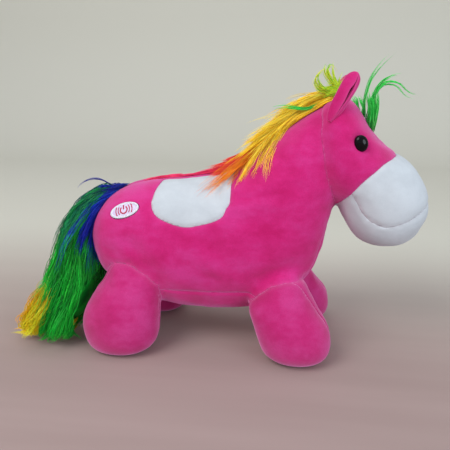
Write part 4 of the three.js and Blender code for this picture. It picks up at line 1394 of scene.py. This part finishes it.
def stitched_band(name, centre, half_width, height, material, base=0.4, closed=True, stitches=150, waves=0.25):
    """A raised band of satin stitch along a line in the patch's frame."""
    centre = np.asarray(centre, float)
    if closed:
        centre = np.vstack([centre, centre[:1]])
    gaps = np.linalg.norm(np.diff(centre, axis=0), axis=1)
    reach = np.concatenate([[0], np.cumsum(gaps)])
    at = np.linspace(0, reach[-1], stitches * 4 + 1)
    line = np.stack([np.interp(at, reach, centre[:, k]) for k in (0, 1)], -1)
    if closed:
        line = line[:-1]
        forward = np.roll(line, -1, 0) - np.roll(line, 1, 0)
    else:
        forward = np.gradient(line, axis=0)
    forward = unit(forward)
    side = np.stack([-forward[:, 1], forward[:, 0]], -1)
    section = np.linspace(0, math.pi, 7)
    rib_height = 1 + waves * np.cos(np.arange(len(line)) * math.pi / 2)
    flat = line[:, None] + side[:, None] * (np.cos(section) * half_width)[None, :, None]
    lift = patch_lift(line)[:, None] + base + (np.sin(section) * height)[None, :] * rib_height[:, None]
    low = np.broadcast_to((patch_lift(line) - 0.6)[:, None], flat.shape[:2])
    upper = np.concatenate([flat, lift[..., None]], -1)
    lower = np.concatenate([flat[:, ::-1], low[..., None]], -1)
    grid = np.concatenate([upper, lower[:, 1:-1]], 1)
    sides = grid.shape[1]
    faces = ring_grid(len(line), sides, closed_ends=not closed)
    if closed:
        last, k = (len(line) - 1) * sides, np.arange(sides)
        n = (k + 1) % sides
        faces = np.vstack([faces, np.stack([last + k, last + n, n], -1), np.stack([last + k, n, k], -1)])
    piece = mesh_piece(name, patch_point(grid.reshape(-1, 3)), faces[:, ::-1])
    dress(piece, material)
    carry(piece, "press")


def arc(half_length, half_width, from_deg, to_deg, count=60):
    angle = np.radians(np.linspace(from_deg, to_deg, count))
    return np.stack([half_length * np.cos(angle), half_width * np.sin(angle)], -1)


stitched_band("press_patch_rim", arc(14.0, 6.5, 0, 357, 120), 1.25, 0.7, satin_thread)
# The generic on/off sign, a stroke in the gap of a ring, between arcs for sound.
stitched_band("press_sign_ring", arc(3.6, 3.6, 130, 410), 0.68, 0.4, crimson_thread, 0.85, False, 44)
stroke = np.stack([np.zeros(12), np.linspace(0.4, 4.7, 12)], -1)
stitched_band("press_sign_stroke", stroke, 0.62, 0.45, crimson_thread, 0.9, False, 12)
for word, middle_deg in (("right", 0), ("left", 180)):
    for number, radius, half_turn in ((1, 6.1, 38), (2, 8.7, 30)):
        line = arc(radius, radius, middle_deg - half_turn, middle_deg + half_turn)
        stitched_band(f"press_sign_arc_{word}_{number}", line, 0.5, 0.4, crimson_thread, 0.75, False, 24)


# ---- backings and tapes
def cloth_band(name, node, material, body):
    """A woven tape, rounded over its CAD solid."""
    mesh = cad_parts[node].data.copy()
    piece = bpy.data.objects.new(name, mesh)
    bpy.context.scene.collection.objects.link(piece)
    mesh.materials.clear()
    dress(piece, material)
    soft = piece.modifiers.new("rounding", "BEVEL")
    soft.width, soft.segments = 0.0004, 2
    carry(piece, body, node)


skin_trees = []
for name in ("side_panel_right", "side_panel_left", "cheek_panel_right", "cheek_panel_left"):
    skin = pieces[f"{name}_cloth"].data
    skin_trees.append(BVHTree.FromPolygons([v.co for v in skin.vertices], [p.vertices[:] for p in skin.polygons]))


def back_line(from_x, to_x, count):
    """The top of the sewn skin beside the pony's middle seam."""
    line = []
    for x in np.linspace(from_x, to_x, count):
        heights = []
        for y in (-1.2, 1.2):
            hits = [tree.ray_cast(Vector(to_frame([x, y, 400])), Vector((0, 0, -1)))[0] for tree in skin_trees]
            heights.append(max(hit.z for hit in hits if hit is not None) * 1000)
        line.append((x, sum(heights) / 2))
    line = np.array(line)
    line[1:-1, 1] = (line[:-2, 1] + line[1:-1, 1] + line[2:, 1]) / 3
    return line


BAND_SIDES, BAND_RISE, BAND_HALF_WIDTH, BACK_CURVE = 20, 0.4, 1.2, 60


def backing_strip(name, node, line, half_width, body):
    """The woven strip that fur is stitched to, laid along the top of the stuffing."""
    forward = unit(np.gradient(line, axis=0))
    up = np.stack([-forward[:, 1], forward[:, 0]], -1)
    angle = circle(BAND_SIDES)
    y = power(np.cos(angle), 0.5) * half_width
    rise = power(np.sin(angle), 0.5) * BAND_RISE - y**2 / BACK_CURVE
    at = line[:, None] + up[:, None] * rise[None, :, None]
    points = np.stack([at[..., 0], np.broadcast_to(y, at.shape[:2]), at[..., 1]], -1).reshape(-1, 3)
    piece = mesh_piece(name, points, ring_grid(len(line), BAND_SIDES))
    dress(piece, backing_cloth)
    carry(piece, body, node)


backing_cloth = woven("backing_cloth", (216, 60, 130), (180, 36, 100), (255, 160, 200), 0.8)
hook_cloth = woven("hook_cloth", (60, 60, 64), (30, 30, 34), (160, 160, 170), 0.6)
backing_strip("mane_backing_strip", "mane_backing", back_line(-84, 139, 90), BAND_HALF_WIDTH, "torso")
backing_strip("tail_backing_strip", "tail_backing", back_line(-118, -98, 16), 6, "tail")
cloth_band("hook_tape_cloth", "hook_tape", hook_cloth, "flap")
cloth_band("loop_tape_cloth", "loop_tape", hook_cloth, "torso")


# ---- hardware kept from the CAD model
def moulded(name, light, dark, rough, metallic=0.0, grain=600):
    """A plain hard material with a fine grain."""
    material, tree, shader = new_material(name, Roughness=rough, Metallic=metallic)
    speck = noise_node(tree, object_place(tree), grain, 3, 0.6)
    paint(tree, shader, dyes(tree, speck, [(0.35, dark), (0.65, light)]))
    bump(tree, shader, speck, 0.15, 0.0002)
    return material


KEPT = [
    (moulded("white_plastic", (232, 232, 228), (214, 214, 210), 0.4), ("switch_housing", "unit_housing", "unit_cover")),
    (
        moulded("black_plastic", (34, 34, 36), (20, 20, 22), 0.45),
        ("switch_plunger", "eye_washer_right", "eye_washer_left"),
    ),
    (
        moulded("steel", (196, 196, 200), (160, 160, 166), 0.3, 1.0, 1500),
        ("cover_screw", "button_cell_1", "button_cell_2", "button_cell_3", "contact_plate"),
    ),
    (moulded("board_green", (30, 120, 70), (18, 92, 54), 0.5), ("circuit_board",)),
    (moulded("paper_cone", (52, 50, 52), (34, 33, 36), 0.9), ("speaker",)),
    (moulded("red_wire", (190, 40, 40), (160, 26, 26), 0.45), ("switch_lead",)),
]
for material, nodes in KEPT:
    for node in nodes:
        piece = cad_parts[node]
        piece.data.materials.clear()
        piece.data.materials.append(material)


# ---- floor and light
# The floor fades to the backdrop's tone between these distances behind the pony, in metres.
FADE_FROM, FADE_TO, FLOOR_GAP = -0.1, 0.4, 0.0002
floor_material, tree, shader = new_material("floor", Roughness=0.7, Specular_IOR_Level=0.2)
place = object_place(tree)
grain = noise_node(tree, stretched(tree, place, (0.5, 5, 1)), 4, 3)
tone = dyes(tree, grain, [(0.3, (162, 142, 138)), (0.7, (170, 150, 146))])
away = add(tree, "ShaderNodeSeparateXYZ", "Y", {0: place})
limits = {"Value": away, "From Min": FADE_FROM, "From Max": FADE_TO}
far = add(tree, "ShaderNodeMapRange", "Result", limits, interpolation_type="SMOOTHSTEP")
paint(tree, shader, mixed(tree, "MIX", far, tone, linear((212, 210, 199))))
# A floor that sweeps up into a pale backdrop well behind the pony.
turn = np.linspace(0, math.pi / 2, 12)
sweep = [(-3000, 0)] + [(1100 + 500 * math.sin(a), 500 - 500 * math.cos(a)) for a in turn] + [(1600, 2600)]
FLOOR = 4000
points = [(x, y, z) for y, z in sweep for x in (-FLOOR, FLOOR)]
faces = [(2 * i, 2 * i + 1, 2 * i + 3, 2 * i + 2) for i in range(len(sweep) - 1)]
floor = mesh_piece("floor", points, faces)
floor.location.z = -FLOOR_GAP
floor.data.materials.append(floor_material)


def area_light(name, at, target, size, energy, colour):
    data = bpy.data.lights.new(name, "AREA")
    data.shape, data.size, data.energy, data.color = "DISK", size, energy, colour
    light = bpy.data.objects.new(name, data)
    bpy.context.scene.collection.objects.link(light)
    light.location = at
    light.visible_camera = False
    light.rotation_euler = (Vector(target) - Vector(at)).to_track_quat("-Z", "Y").to_euler()


area_light("key", (-0.9, -1.05, 1.45), (0, 0, 0.12), 1.3, 20, (1.0, 0.985, 0.97))
area_light("fill", (1.5, -1.2, 0.6), (0.05, 0, 0.12), 1.2, 17, (0.8, 0.92, 1.0))
area_light("top", (0.0, 0.3, 1.9), (0, 0, 0.15), 1.2, 2.5, (1.0, 1.0, 1.0))

world = bpy.data.worlds.new("studio")
bpy.context.scene.world = world
world.use_nodes = True
world.node_tree.nodes["Background"].inputs["Color"].default_value = linear((222, 226, 232))
world.node_tree.nodes["Background"].inputs["Strength"].default_value = 0.75
bpy.context.scene.view_settings.view_transform = "Standard"
